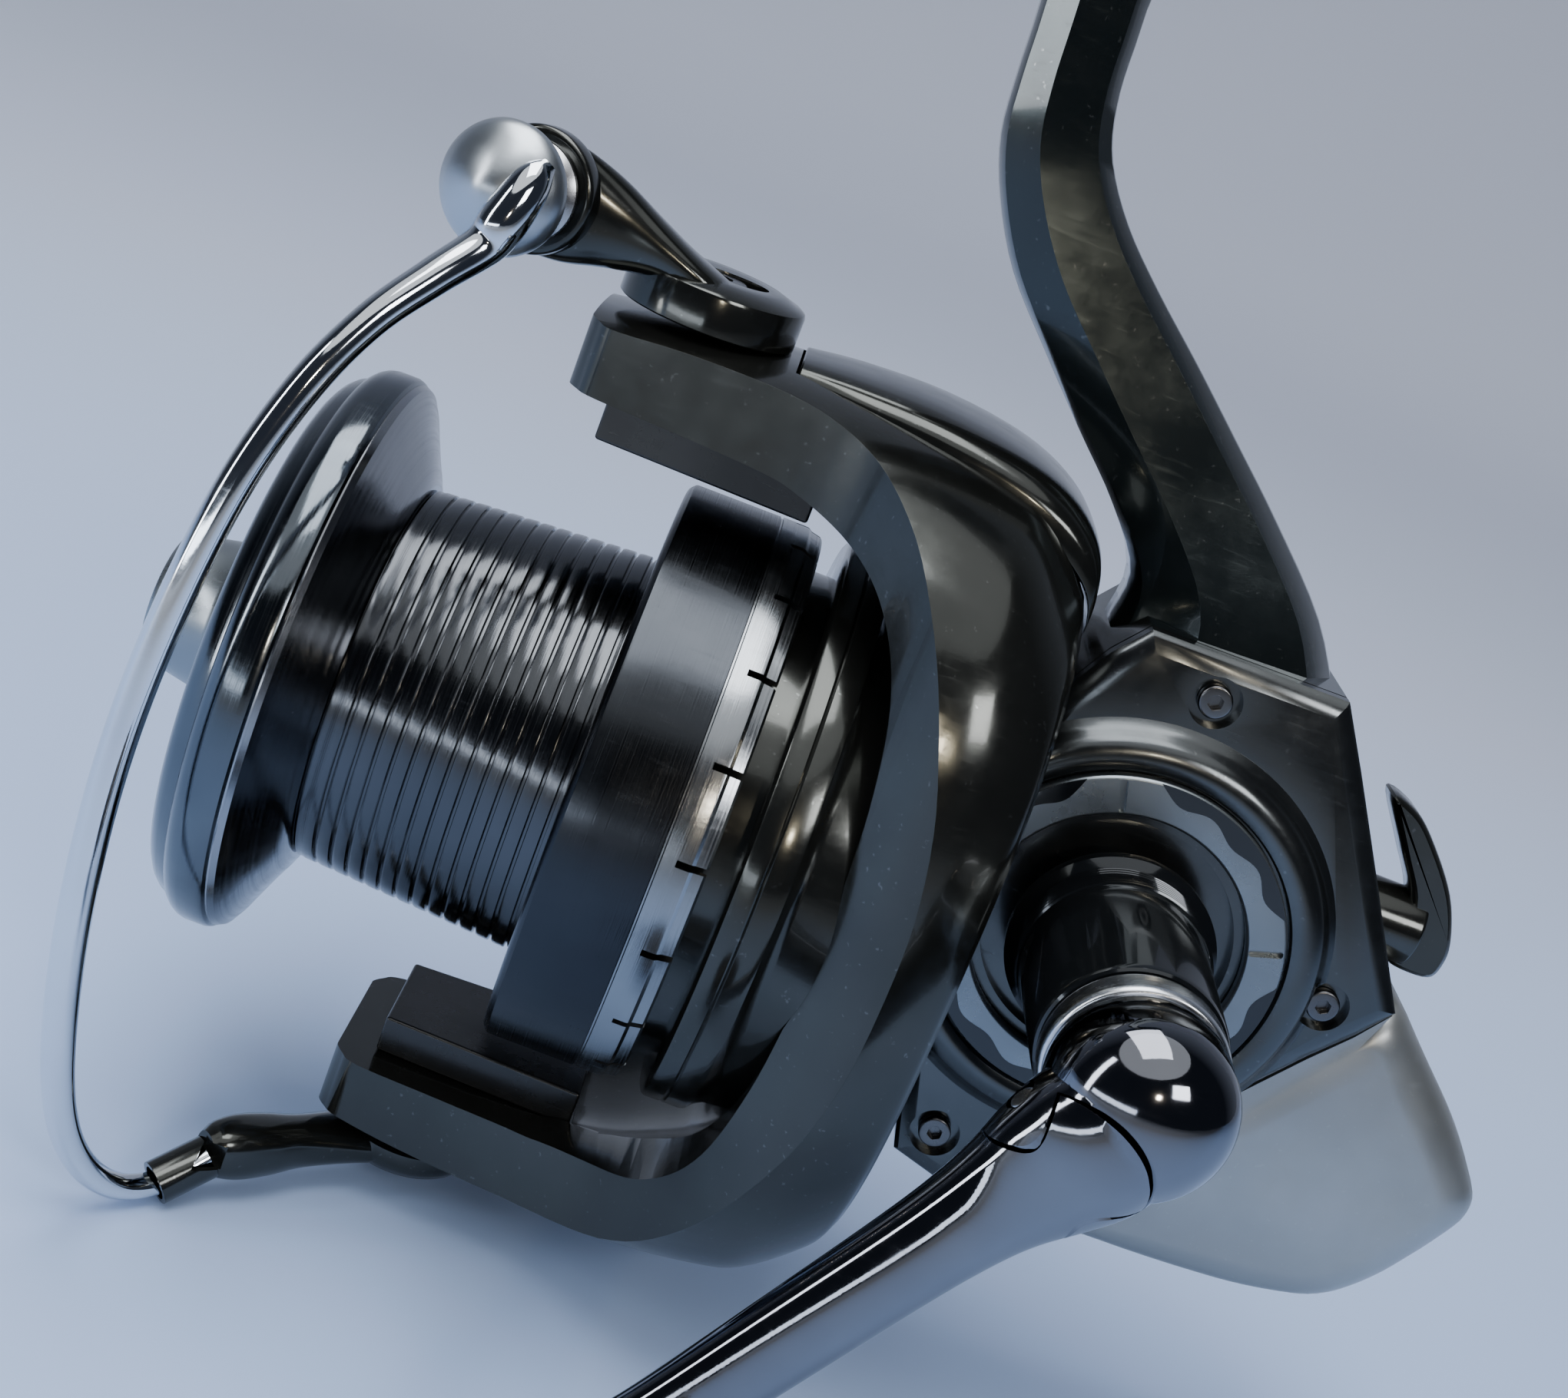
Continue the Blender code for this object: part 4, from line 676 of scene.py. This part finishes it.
def crank_body_shape():
    """Outer form shared by the knuckle and the arm: a ball on the shaft that runs out into the arm."""
    ball = [(-50.3, 0), (-50.3, 9.1), (-50.8, 9.5), (-52.5, 9.75)]
    ball += [(-56.4 - 7.4 * sin(radians(a)), 9.8 * cos(radians(a))) for a in range(0, 90, 4)] + [(-63.8, 0)]
    rows = spline([(r[0], r[1], r[2]) for r in CRANK_BODY], 6), spline([(r[3], 0, 0) for r in CRANK_BODY], 6)
    sections = []
    for one, two in zip(*rows):
        sections.append([Vector((one.x, one.y * reach * c, two.x + one.z * reach * s))
                         for reach, c, s in squircle(2.25, 72)])
    return join(turned(ball, **ON_DRIVE), folded(loft(sections)))


def fold_sector(radius, start, end, reach=90.0):
    """Wedge round the fold pin, outside a radius, between two angles from the arm towards the outside."""
    return folded(prism(arc((0, 0), radius, start, end, 40) + arc((0, 0), reach, end, start, 8), -14.0, 14.0))


def build_knuckle():
    slot = folded(prism([(-4.4, -9.0), (16.0, -9.0), (16.0, 9.0), (-4.4, 9.0)], -2.5, 2.5))
    head = cut(crank_body_shape(), fold_sector(BARREL_R, -92, 141), slot, folded(rod(1.85, -14, 14, along=Y)))
    show_node("crank_knuckle", head, "crank", "crank_chrome", "dark_chrome", bevel=0.35, sharp=30)
    pin = [(-7.6, 0), (-7.6, 1.5), (7.6, 1.5), (7.6, 0)]
    show_node("fold_pin", folded(turned(softened(pin, 0.4), along=Y, steps=48)), "crank", "steel", "steel")


def build_arm():
    shell = combine(crank_body_shape(), fold_sector(BARREL_R + GAP, -43, 138.6), "INTERSECT")
    tongue = prism(rounded([(-3.6, -3.6), (8.0, -3.6), (8.0, 3.6), (-3.6, 3.6)], 3.4, 8), -2.15, 2.15)
    arm = cut(join(shell, folded(tongue)), folded(rod(1.85, -14, 14, along=Y)),
              rod(1.9, -20, 20, at=KNOB_AT, along=OUT))
    show_node("crank_arm", arm, "handle", "crank_chrome", "dark_chrome", bevel=0.3, sharp=30)
    axle = [(-1.0, 0), (-1.0, 1.55), (5.0, 1.55), (5.0, 3.4), (6.0, 3.4), (6.0, 2.2), (30.9, 2.2), (30.9, 0)]
    show_node("knob_axle", turned(axle, steps=64, at=KNOB_AT + OUT * -1.0, along=OUT), "handle", "steel",
              "steel")
    grip = [(5.4, 2.55), (5.4, 5.7), (5.8, 6.4), (6.6, 7.5), (8.4, 8.3), (10.4, 8.8), (14.0, 9.6),
            (17.2, 10.35)]
    for k in range(5):
        x = 18.0 + 1.65 * k
        grip += [(x, 10.5 + 0.21 * k), (x + 0.2, 10.1 + 0.21 * k), (x + 0.6, 10.1 + 0.21 * k),
                 (x + 0.8, 10.54 + 0.21 * k)]
    grip += [(26.4, 11.65), (28.3, 11.6), (29.8, 11.2), (31.1, 10.5), (31.8, 9.8), (32.0, 9.0), (32.0, 5.6),
             (27.0, 5.6), (27.0, 2.55)]
    show_node("knob_grip", turned(grip, at=KNOB_AT, along=OUT), "knob", "soft_grip", "soft_grip", sharp=40)
    cap = [(30.4, 0), (30.4, 5.2), (32.2, 5.2), (32.7, 4.8), (33.0, 4.0), (32.8, 3.2), (33.0, 2.8), (33.0, 0)]
    show_node("knob_cap", turned(cap, steps=96, at=KNOB_AT, along=OUT), "knob", "steel", "bright_alloy",
              sharp=25)


# ---------------------------------------------------------------- rotor
def rotor_section(x, half_width, half_height, power=2.6):
    return [Vector((x, half_width * reach * c, half_height * reach * s))
            for reach, c, s in squircle(power, 144, 0.5)]


ROTOR_SKIN = [(-80.6, 36.0, 53.2), (-69.0, 37.0, 54.6), (-56.0, 38.0, 55.2), (-42.0, 38.8, 54.8),
              (-31.0, 39.0, 53.4), (-25.0, 38.8, 51.4), (-19.0, 37.2, 46.0), (-17.4, 36.0, 43.0)]
ROTOR_HOLLOW = [(-82.0, 33.0, 44.4), (-50.0, 33.2, 44.4), (-38.0, 33.6, 40.0), (-32.0, 33.8, 36.4),
                (-16.0, 33.8, 34.6)]
FLARE = [(-81.5, 5.0), (-80.9, 8.2), (-79.6, 10.6), (-77.0, 12.4), (-66.0, 13.6), (-55.0, 15.2),
         (-47.0, 19.0), (-40.5, 25.0), (-35.0, 31.0), (-30.0, 35.6), (-26.5, 37.9), (-24.0, 39.0),
         (-21.0, 40.4), (-15.0, 41.0)]
WINDOW = [(-90.0, 44.6), (-60.0, 44.2), (-52.0, 43.4), (-44.0, 40.8), (-39.0, 36.4), (-35.4, 29.0),
          (-33.4, 18.0), (-32.6, 6.0)]
COVER = [(-57.0, 8.4, 55.9, 52.6), (-50.0, 10.6, 56.6, 52.2), (-40.0, 12.4, 56.8, 51.4),
         (-30.0, 13.4, 55.6, 50.0), (-23.0, 13.6, 53.2, 47.6), (-18.4, 13.2, 49.6, 44.4),
         (-16.6, 12.4, 45.4, 40.6), (-16.4, 11.6, 40.0, 36.6)]


def cover_shape(side, grow):
    """Cover on the back of a rotor arm, or the room for it if it grows."""
    rows = spline([(x, h, t) for x, h, t, b in COVER], 5), spline([(b, 0, 0) for x, h, t, b in COVER], 5)
    sections = []
    last = len(rows[0]) - 1
    for k, (one, two) in enumerate(zip(*rows)):
        x = one.x + grow * ((k == last) - (k == 0))
        h, t, b = one.y + grow, one.z + (grow + 3 if grow else 0), two.x - grow
        half = [(-1, b), (-1, b + 0.42 * (t - b)), (-0.97, b + 0.62 * (t - b)), (-0.86, b + 0.82 * (t - b)),
                (-0.66, b + 0.93 * (t - b)), (-0.4, b + 0.985 * (t - b)), (-0.15, t)]
        whole = half + [(-y, z) for y, z in reversed(half)]
        sections.append([Vector((x, y * h, side * z)) for y, z in whole])
    return loft(sections)


def inner_plate_shape(side, grow=0.0):
    g = grow
    plate = prism([(-76.0 - g, -8.0 - g), (-76.0 - g, 8.0 + g), (-50.0 + g, 9.6 + g), (-50.0 + g, -9.6 - g)],
                  39.2 - g, 44.05 + g * 0.5, "Z")
    if side < 0:
        plate.transform(Matrix.Rotation(pi, 4, "X"))
    return plate


def build_rotor():
    skin = spline(ROTOR_SKIN, 5)
    skin = loft([rotor_section(p.x, p.y, p.z) for p in skin])
    hollow = loft([rotor_section(p.x, p.y, p.z, 2.3) for p in spline(ROTOR_HOLLOW, 5)])
    smooth = flat_spline(FLARE, 5)
    plan = prism([(x, -y) for x, y in smooth] + [(x, y) for x, y in reversed(smooth)], -70, 70, "Z")
    edge = flat_spline(WINDOW, 6)
    window = prism(edge + [(x, -z) for x, z in reversed(edge)], -60, 60)
    frame_shape = cut(combine(skin, plan, "INTERSECT"), hollow, window)
    tools = [rod(1.9, 40, 60, at=(BAIL_X, 0, 0), along=(0, 0, s), steps=32) for s in (1, -1)]
    tools += [cover_shape(side, 0.3) for side in (1, -1)]
    tools += [inner_plate_shape(1, GAP), inner_plate_shape(-1, GAP),
              rod(2.9, -51.0, -38.0, at=(0, 0, 48.6), along=X, steps=32)]
    show("rotor_frame_visual", cut(frame_shape, *tools), "rotor", ["rotor"], "gunmetal", "gunmetal_paint",
         bevel=0.7, sharp=26, segments=4)
    cup = [(-61.0, 28.6), (-61.0, 30.6), (-60.4, 31.0), (-44.0, 31.0), (-43.9, 35.4), (-43.6, 36.0),
           (-43.2, 36.2), (-41.4, 36.2), (-41.1, 36.0), (-40.9, 36.2), (-38.8, 36.2), (-38.2, 36.0),
           (-37.6, 35.3), (-36.4, 34.6), (-30.0, 34.0), (-26.5, 33.2), (-26.5, 32.6), (-40.6, 32.6),
           (-40.6, 9.4), (-42.2, 9.0), (-42.2, 4.35), (-49.6, 4.35), (-49.6, 9.0), (-44.6, 10.0),
           (-43.4, 28.6)]
    show("rotor_cup_visual", turned(cup, steps=192, **ON_SPOOL), "rotor", ["rotor"], "gunmetal",
         "gunmetal_paint", sharp=30)
    lug = rounded([(-29.0, 28.2), (-25.0, 28.2), (-25.0, 32.9), (-29.0, 32.9)], 0.5)
    lugs = [prism(lug, y - 0.9, y + 0.9) for y in (-3.7, 3.7)]
    lugs = cut(beside(*lugs), rod(1.3, -5, 5, at=(-27.0, 0, 30.0), along=Y, steps=32))
    show("rotor_trip_lugs", lugs, "rotor", ["rotor"], "gunmetal", "gunmetal_paint")
    for side, name in ((1, "upper"), (-1, "lower")):
        show_node(name + "_arm_cover", cover_shape(side, 0.0), "rotor", "gunmetal", "gunmetal_paint",
                  bevel=0.3, sharp=34)
        show_node(name + "_inner_plate", inner_plate_shape(side), "rotor", "inner_plate", "black_plastic",
                  bevel=0.4)


# ---------------------------------------------------------------- bail
def bail_point(forward, height):
    return Vector((BAIL_X - forward * cos(BAIL_LEAN), -forward * sin(BAIL_LEAN), height))


WIRE_ROUTE = [(33.9, 56.4), (37.6, 53.3), (43.4, 47.4), (48.6, 39.2), (53.0, 27.4), (55.9, 12.0),
              (57.1, -4.0), (56.4, -21.0), (54.2, -36.5), (51.0, -48.5), (46.6, -56.4), (40.8, -60.9),
              (34.6, -61.2), (29.4, -58.4)]


def blade(start, end, rows):
    """Flat bar from start to end: rows are (part of the way, half width, half thickness, rise)."""
    flat = Vector((end.x - start.x, end.y - start.y, 0)).normalized()
    side = Vector((-flat.y, flat.x, 0))
    sections = []
    smooth = spline([(r[0], r[1], r[2]) for r in rows], 6), spline([(r[3], 0, 0) for r in rows], 6)
    for one, two in zip(*smooth):
        at = start.lerp(end, one.x) + Vector((0, 0, two.x))
        sections.append([at + side * one.y * reach * c + Vector((0, 0, one.z * reach * s))
                         for reach, c, s in squircle(2.4, 48)])
    return loft(sections)


def build_bail():
    start = [Vector((-89.1, -20.0, 67.2)), Vector((-90.0, -21.3, 65.0)), Vector((-91.2, -22.6, 60.8)),
             Vector((-92.3, -23.0, 57.6))]
    path = start + [bail_point(s, z) for s, z in WIRE_ROUTE[1:]]
    widths = [1.3, 2.3, 2.6, 2.3, 2.05] + [1.9] * 7 + [1.8, 1.7, 1.6, 1.5, 1.45]
    route = spline(path, 8)
    radii = [p.x for p in spline([(w, 0, 0) for w in widths], 8)]
    show_node("bail_wire", tube(route, radii, 40), "bail", "chrome", "chrome", sharp=60)
    cone = [(3.5, 0), (3.5, 6.8), (3.8, 7.15), (4.3, 7.2), (5.0, 7.0), (5.8, 6.5), (6.8, 5.4), (7.7, 4.1),
            (8.4, 2.8), (8.9, 1.6), (9.15, 0.8), (9.2, 0)]
    cap = turned(cone, **ON_ROLLER)
    show_node("roller_cap", cap, "bail", "cap_chrome", "chrome", sharp=40)
    roller = [(-2.9, 2.4), (-2.9, 5.4), (-2.7, 5.6), (-2.3, 5.55), (-1.6, 4.7), (-0.9, 4.25), (0.0, 4.15),
              (0.9, 4.25), (1.6, 4.7), (2.3, 5.55), (2.7, 5.6), (2.9, 5.4), (2.9, 2.4)]
    show_node("line_roller", turned(roller, **ON_ROLLER), "roller", "steel",
              "bright_alloy", sharp=40)
    pin = turned([(-8.4, 0), (-8.4, 2.0), (-8.0, 2.4), (-7.0, 2.4), (-7.0, 1.2), (3.1, 1.2), (3.1, 0)],
                 steps=64, **ON_ROLLER)
    show_node("roller_screw", pin, "bail", "dark_steel", "steel")


def build_bail_arms():
    end = ROLLER_AT - ROLLER_ALONG * 5.0
    start = Vector((BAIL_X, 0, 58.5))
    hub = [(55.2, 0), (55.2, 10.3), (55.4, 10.55), (59.3, 10.55), (59.7, 10.4), (60.0, 9.9), (60.7, 7.6),
           (60.75, 5.6), (60.5, 0)]
    hub = turned(hub, at=(BAIL_X, 0, 0), along=Z)
    bar = blade(start, end, [(0.0, 8.4, 2.2, 0.0), (0.2, 7.6, 2.6, 0.5), (0.4, 6.0, 3.4, 1.0),
                             (0.6, 4.2, 4.9, 0.9), (0.78, 2.9, 6.1, 0.4), (0.93, 1.8, 6.6, 0.1)])
    eye = turned(softened([(-6.4, 0), (-6.4, 7.0), (-3.2, 7.0), (-3.2, 0)], 0.8), **ON_ROLLER,
                 steps=96)
    arm = join(hub, bar, eye)
    dish = rod(1.0, 58.6, 70, along=Z)
    dish.transform(Matrix.Translation((BAIL_X + 1.0, 0, 0)) @ Matrix.Diagonal((4.6, 3.4, 1, 1)))
    tools = [rod(1.9, 50, 70, at=(BAIL_X, 0, 0), along=Z, steps=32), dish,
             rod(1.5, -20, 3.2, **ON_ROLLER, steps=32),
             rod(2.7, -20, -6.0, **ON_ROLLER, steps=48)]
    show_node("bail_arm", cut(arm, *tools), "bail", "gunmetal", "gunmetal_paint", bevel=0.4, sharp=32)
    foot = bail_point(27.0, -57.4)
    start = Vector((BAIL_X, 0, -58.2))
    hub = [(55.9, 0), (55.9, 9.0), (56.2, 9.6), (57.2, 9.8), (58.6, 9.4), (59.7, 8.6), (60.4, 7.2),
           (60.6, 6.0), (60.6, 0)]
    hub = turned(hub, at=(BAIL_X, 0, 0), along=(0, 0, -1))
    lever = blade(start, foot, [(0.0, 6.6, 1.9, 0), (0.35, 4.4, 2.5, 0), (0.62, 3.3, 3.1, 0),
                                (0.8, 3.6, 3.7, 0), (0.95, 3.6, 3.9, 0), (1.06, 3.0, 3.4, 0),
                                (1.12, 2.0, 2.4, 0)])
    route = spline([bail_point(s, z) for s, z in WIRE_ROUTE], 6)
    collar = tube([route[-8], route[-1]], [2.75, 2.75], 40)
    square = prism([(-1.5, -1.5), (1.5, -1.5), (1.5, 1.5), (-1.5, 1.5)], -1.6, 3.0, "Z")
    place = Matrix.Translation(foot + Vector((-1.0, -3.4, 0.6)))
    square.transform(place @ Matrix.Rotation(radians(90), 4, "X"))
    tools = [rod(1.9, 50, 70, at=(BAIL_X, 0, 0), along=(0, 0, -1), steps=32),
             rod(3.6, 58.8, 70, at=(BAIL_X, 0, 0), along=(0, 0, -1), steps=48), square,
             tube(route, [2.1] * len(route), 32)]
    show_node("bail_lever", cut(join(hub, lever, collar), *tools), "bail", "gunmetal", "gunmetal_paint",
              bevel=0.35, sharp=32)
    for name, s in (("upper", 1), ("lower", -1)):
        head = turned(softened([(0, 0), (0, 3.1), (1.5, 3.1), (1.5, 0)], 0.3), steps=64)
        socket = rod(1.5, 0.5, 3, steps=6)
        screw = join(cut(head, socket), rod(1.5, -12.0, 0.3, steps=32))
        screw = placed(screw, (BAIL_X, 0, s * 58.9), (0, 0, s))
        show_node("bail_pivot_screw_" + name, screw, "rotor", "dark_steel", "steel")


# ---------------------------------------------------------------- spool and drag knob
GROOVE = [(0, -0.06), (0.3, 0.06), (1.5, 0.14), (1.62, 0.05), (1.68, -0.42), (1.94, -0.42), (2.0, -0.1)]


def build_spool():
    profile = [(-97.4, 20.4), (-97.4, 22.8), (-92.3, 22.8), (-92.3, 23.7)]
    pitch = 2.06
    for k in range(13):
        x = -91.7 + pitch * k
        radius = 23.72 + 0.066 * (x + 92.3)
        profile += [(x + ahead, radius + rise) for ahead, rise in GROOVE]
    profile += [(-64.6, 25.4), (-64.6, 26.0), (-64.3, 26.0), (-64.3, 34.5), (-64.2, 34.9), (-63.9, 35.3),
                (-63.5, 35.65), (-63.2, 35.7)]
    dark_end = -52.6
    profile += [(-60.0, 35.72), (-56.0, 35.74), (dark_end, 35.76), (dark_end + 0.12, 35.55),
                (dark_end + 0.3, 35.55), (dark_end + 0.42, 35.78), (-50.9, 35.8), (-49.2, 35.8),
                (-48.9, 35.75), (-48.5, 35.45), (-47.3, 35.2), (-47.0, 34.9), (-47.0, 34.0)]
    inner = [(-61.8, 34.0), (-61.8, 23.8), (-86.6, 22.0), (-86.6, 6.4), (-82.0, 6.0), (-82.0, 3.2),
             (-91.0, 3.2), (-91.0, 20.4)]
    spool = turned(profile + inner, steps=240, **ON_SPOOL)
    slots = []
    for k in range(20):
        slot = prism([(-50.6, -0.42), (-46.0, -0.42), (-46.0, 0.42), (-50.6, 0.42)], 33.0, 37.0, "Z")
        slot.transform(Matrix.Rotation(2 * pi * (k + 0.5) / 20, 4, "X"))
        slots.append(slot)
    spool = cut(spool, *slots)

    def paint(at):
        radius = sqrt(at.y ** 2 + at.z ** 2)
        if at.x < -64.4 or radius < 33.9:
            return 0
        return 1 if at.x < dark_end + 0.1 else 2
    show_node("spool", spool, "spool", ["drum", "skirt_dark", "skirt_light"], "turned_alloy", sharp=24,
              paint=paint)
    crown = [(-106.6, 21.4), (-106.6, 30.8), (-106.4, 31.7), (-105.9, 32.5), (-105.1, 33.2), (-104.0, 33.7),
             (-103.7, 34.3), (-103.1, 34.9), (-102.4, 35.3), (-101.6, 35.48), (-99.4, 35.5), (-98.8, 35.3),
             (-98.5, 34.9), (-98.3, 34.95), (-97.6, 34.6), (-96.8, 33.2), (-95.8, 30.9), (-94.6, 28.2),
             (-93.6, 26.2), (-92.9, 24.6), (-92.7, 24.0), (-92.7, 23.2), (-97.8, 23.2), (-97.8, 21.4)]

    def lip_paint(at):
        return 1 if at.x > -98.4 else 0
    show_node("spool_lip", turned(crown, steps=240, **ON_SPOOL), "spool", ["lip_dark", "lip_bright"],
              "bright_alloy", sharp=24, paint=lip_paint)
    knob = [(-99.4, 0), (-99.4, 19.6), (-100.4, 20.4), (-105.2, 20.6), (-106.2, 20.3), (-107.0, 19.6),
            (-107.8, 17.6), (-108.6, 14.8), (-109.6, 11.6), (-110.4, 10.2), (-111.4, 9.55), (-114.6, 8.9),
            (-117.6, 8.3), (-118.3, 8.05), (-118.7, 7.6), (-118.8, 7.0), (-118.8, 0)]
    outer = cut(turned(knob, steps=160, **ON_SPOOL), rod(7.0, -110.4, -98.0, steps=6, **ON_SPOOL),
                rod(2.85, -114.0, -98.0, **ON_SPOOL))

    def knob_paint(at):
        return 1 if at.x < -110.6 and sqrt(at.y ** 2 + at.z ** 2) > 3.0 else 0
    show_node("drag_knob", outer, "drag", ["black_gloss", "grey_satin"], "black_gloss", bevel=0.2, sharp=30,
              paint=knob_paint)


def build_lever():
    stub = turned(softened([(27.4, 0), (27.4, 4.8), (38.0, 4.8), (38.0, 0)], 0.5), at=(0, 0, 17.0), along=X,
                  steps=96)
    outline = flat_spline([(27.6, 32.4), (31.4, 31.6), (35.4, 28.2), (39.6, 23.4), (42.2, 18.4), (42.8, 15.2),
                           (41.8, 12.6), (37.4, 12.4), (36.0, 13.6), (36.2, 17.0), (35.2, 21.6),
                           (31.6, 26.6)], 5, closed=True)
    hook = slab(outline, [(-3.0, 0.7), (-2.6, 0.2), (-2.0, 0.0), (2.0, 0.0), (2.6, 0.2), (3.0, 0.7)])
    show_node("anti_reverse_lever", join(stub, hook), "lever", "gunmetal", "gunmetal_paint", bevel=0.2,
              sharp=35)


# ---------------------------------------------------------------- finishes of the parts kept as packed
KEPT = {
    "drive_gear": "brass", "pinion_gear": "brass", "oscillation_worm": "brass", "oscillation_gear": "brass",
    "roller_bush": "brass", "spool_seat": "brass", "drag_nut": "brass", "slider_block": "bright_alloy",
    "trip_ramp": "black_plastic", "trip_lever": "black_gloss", "far_side_cap": "gunmetal",
    "drag_disc_felt_1": "felt", "drag_disc_felt_2": "felt", "rear_guard_screw": "dark_steel",
}


def finish_kept():
    """Give the pieces shown as packed their finish."""
    for name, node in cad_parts.items():
        item = FINISH[KEPT.get(name, "steel")]
        node.data.materials.clear()
        node.data.materials.append(item)


# ---------------------------------------------------------------- floor, lights and camera
def lamp(name, at, aim, width, height, power, colour=(1, 1, 1)):
    data = bpy.data.lights.new(name, "AREA")
    data.shape = "RECTANGLE"
    data.size, data.size_y = width, height
    data.energy = power
    data.color = colour
    light = added(name, data)
    light.location = at
    light.rotation_euler = (Vector(aim) - Vector(at)).to_track_quat("-Z", "Y").to_euler()


def build_stage():
    sweep = [(-1.2 + 0.1 * k, 0.0) for k in range(27)]
    sweep += [(1.5 + 1.2 * sin(radians(a)), 1.2 - 1.2 * cos(radians(a))) for a in range(5, 91, 5)]
    sweep.append((2.7, 3.0))
    shape = bmesh.new()
    rows = [[shape.verts.new((x, y, z)) for x in (-4.0, 4.0)] for y, z in sweep]
    for one, two in zip(rows, rows[1:]):
        shape.faces.new([one[0], one[1], two[1], two[0]]).smooth = True
    mesh = used_up(shape, "floor")
    floor = added("floor", mesh)
    floor.location = (0.0, 0.0, FLOOR_Z)
    g = Graph("floor_with_painted_shade_and_glow")
    tone = g.noise(1.2, 3.0)
    parts = g.node("ShaderNodeSeparateXYZ")
    g.link(g.place, parts.inputs[0])
    far = g.spread(parts.outputs["Y"], 0, 1, 0.0, 0.5)
    pale = g.mix(g.spread(tone, 0, 1, 0.3, 0.7), g.mix(far, (0.42, 0.56, 0.85), (0.51, 0.57, 0.73)),
                 g.mix(far, (0.44, 0.58, 0.87), (0.54, 0.60, 0.75)))
    # Painted shade: the floor turns dark grey towards the front, from Y -0.10 to -0.45, so the metal mirrors
    # a dark room on that side.
    near = g.spread(parts.outputs["Y"], 1, 0, -0.45, -0.10)
    g.feed(Emission_Color=(0.93, 0.96, 1.06, 1.0), Roughness=0.75,
           # Painted light: the sweep glows more and more towards the back wall, from Y 0.2 to 1.9, lighting
           # the reel from behind like a bright wall.
           Emission_Strength=g.spread(parts.outputs["Y"], 0.0, 0.17, 0.2, 1.9),
           Base_Color=g.mix(near, pale, (0.20, 0.21, 0.23)),
           Normal=g.bump(g.noise(500.0, 3.0), 0.08, 0.0004))
    mesh.materials.append(g.made)

    world = bpy.data.worlds.new("studio")
    world.use_nodes = True
    tree = world.node_tree
    back = tree.nodes["Background"]
    coord = tree.nodes.new("ShaderNodeTexCoord")
    parts = tree.nodes.new("ShaderNodeSeparateXYZ")
    tree.links.new(coord.outputs["Generated"], parts.inputs[0])
    ramp = tree.nodes.new("ShaderNodeValToRGB")
    mapping = tree.nodes.new("ShaderNodeMapRange")
    mapping.inputs["From Min"].default_value = -1.0
    tree.links.new(parts.outputs["Y"], mapping.inputs["Value"])
    tree.links.new(mapping.outputs["Result"], ramp.inputs["Fac"])
    ramp.color_ramp.elements[0].position = 0.5
    ramp.color_ramp.elements[0].color = (0.03, 0.036, 0.05, 1)
    ramp.color_ramp.elements[1].position = 0.9
    ramp.color_ramp.elements[1].color = (0.40, 0.45, 0.56, 1)
    tree.links.new(ramp.outputs["Color"], back.inputs["Color"])
    back.inputs["Strength"].default_value = 0.8
    bpy.context.scene.world = world

    middle = (0.0, -0.01, -0.11)
    sun = bpy.data.lights.new("room", "SUN")
    sun.energy = 1.1
    sun.angle = radians(70)
    sun.color = (0.94, 0.97, 1.0)
    added("room", sun).rotation_euler = (radians(18), radians(-8), 0)
    lamp("overhead", (-0.15, -0.05, 0.75), middle, 0.9, 0.5, 9.0, (0.93, 0.96, 1.0))
    lamp("left_strip", (-0.75, -0.45, 0.15), middle, 0.12, 0.7, 3.2, (0.92, 0.95, 1.0))
    lamp("right_front", (0.45, -0.75, 0.35), middle, 0.28, 0.22, 2.6, (0.96, 0.97, 1.0))
    lamp("low_front", (-0.35, -0.70, -0.12), middle, 0.7, 0.06, 0.8, (0.8, 0.88, 1.0))
    lamp("warm_spot", (0.12, -0.62, 0.10), middle, 0.035, 0.035, 0.45, (1.0, 0.86, 0.66))


def build_camera():
    data = bpy.data.cameras.new("camera")
    data.lens = CAMERA_LENS
    data.sensor_width = 36.0
    camera = added("camera", data)
    camera.matrix_world = Matrix(CAMERA_PLACE)
    bpy.context.scene.camera = camera


build_case()
build_side_plate()
build_trim_ring()
build_rear_guard()
build_crank()
build_knuckle()
build_arm()
build_rotor()
build_bail()
build_bail_arms()
build_spool()
build_lever()
finish_kept()
build_stage()
build_camera()
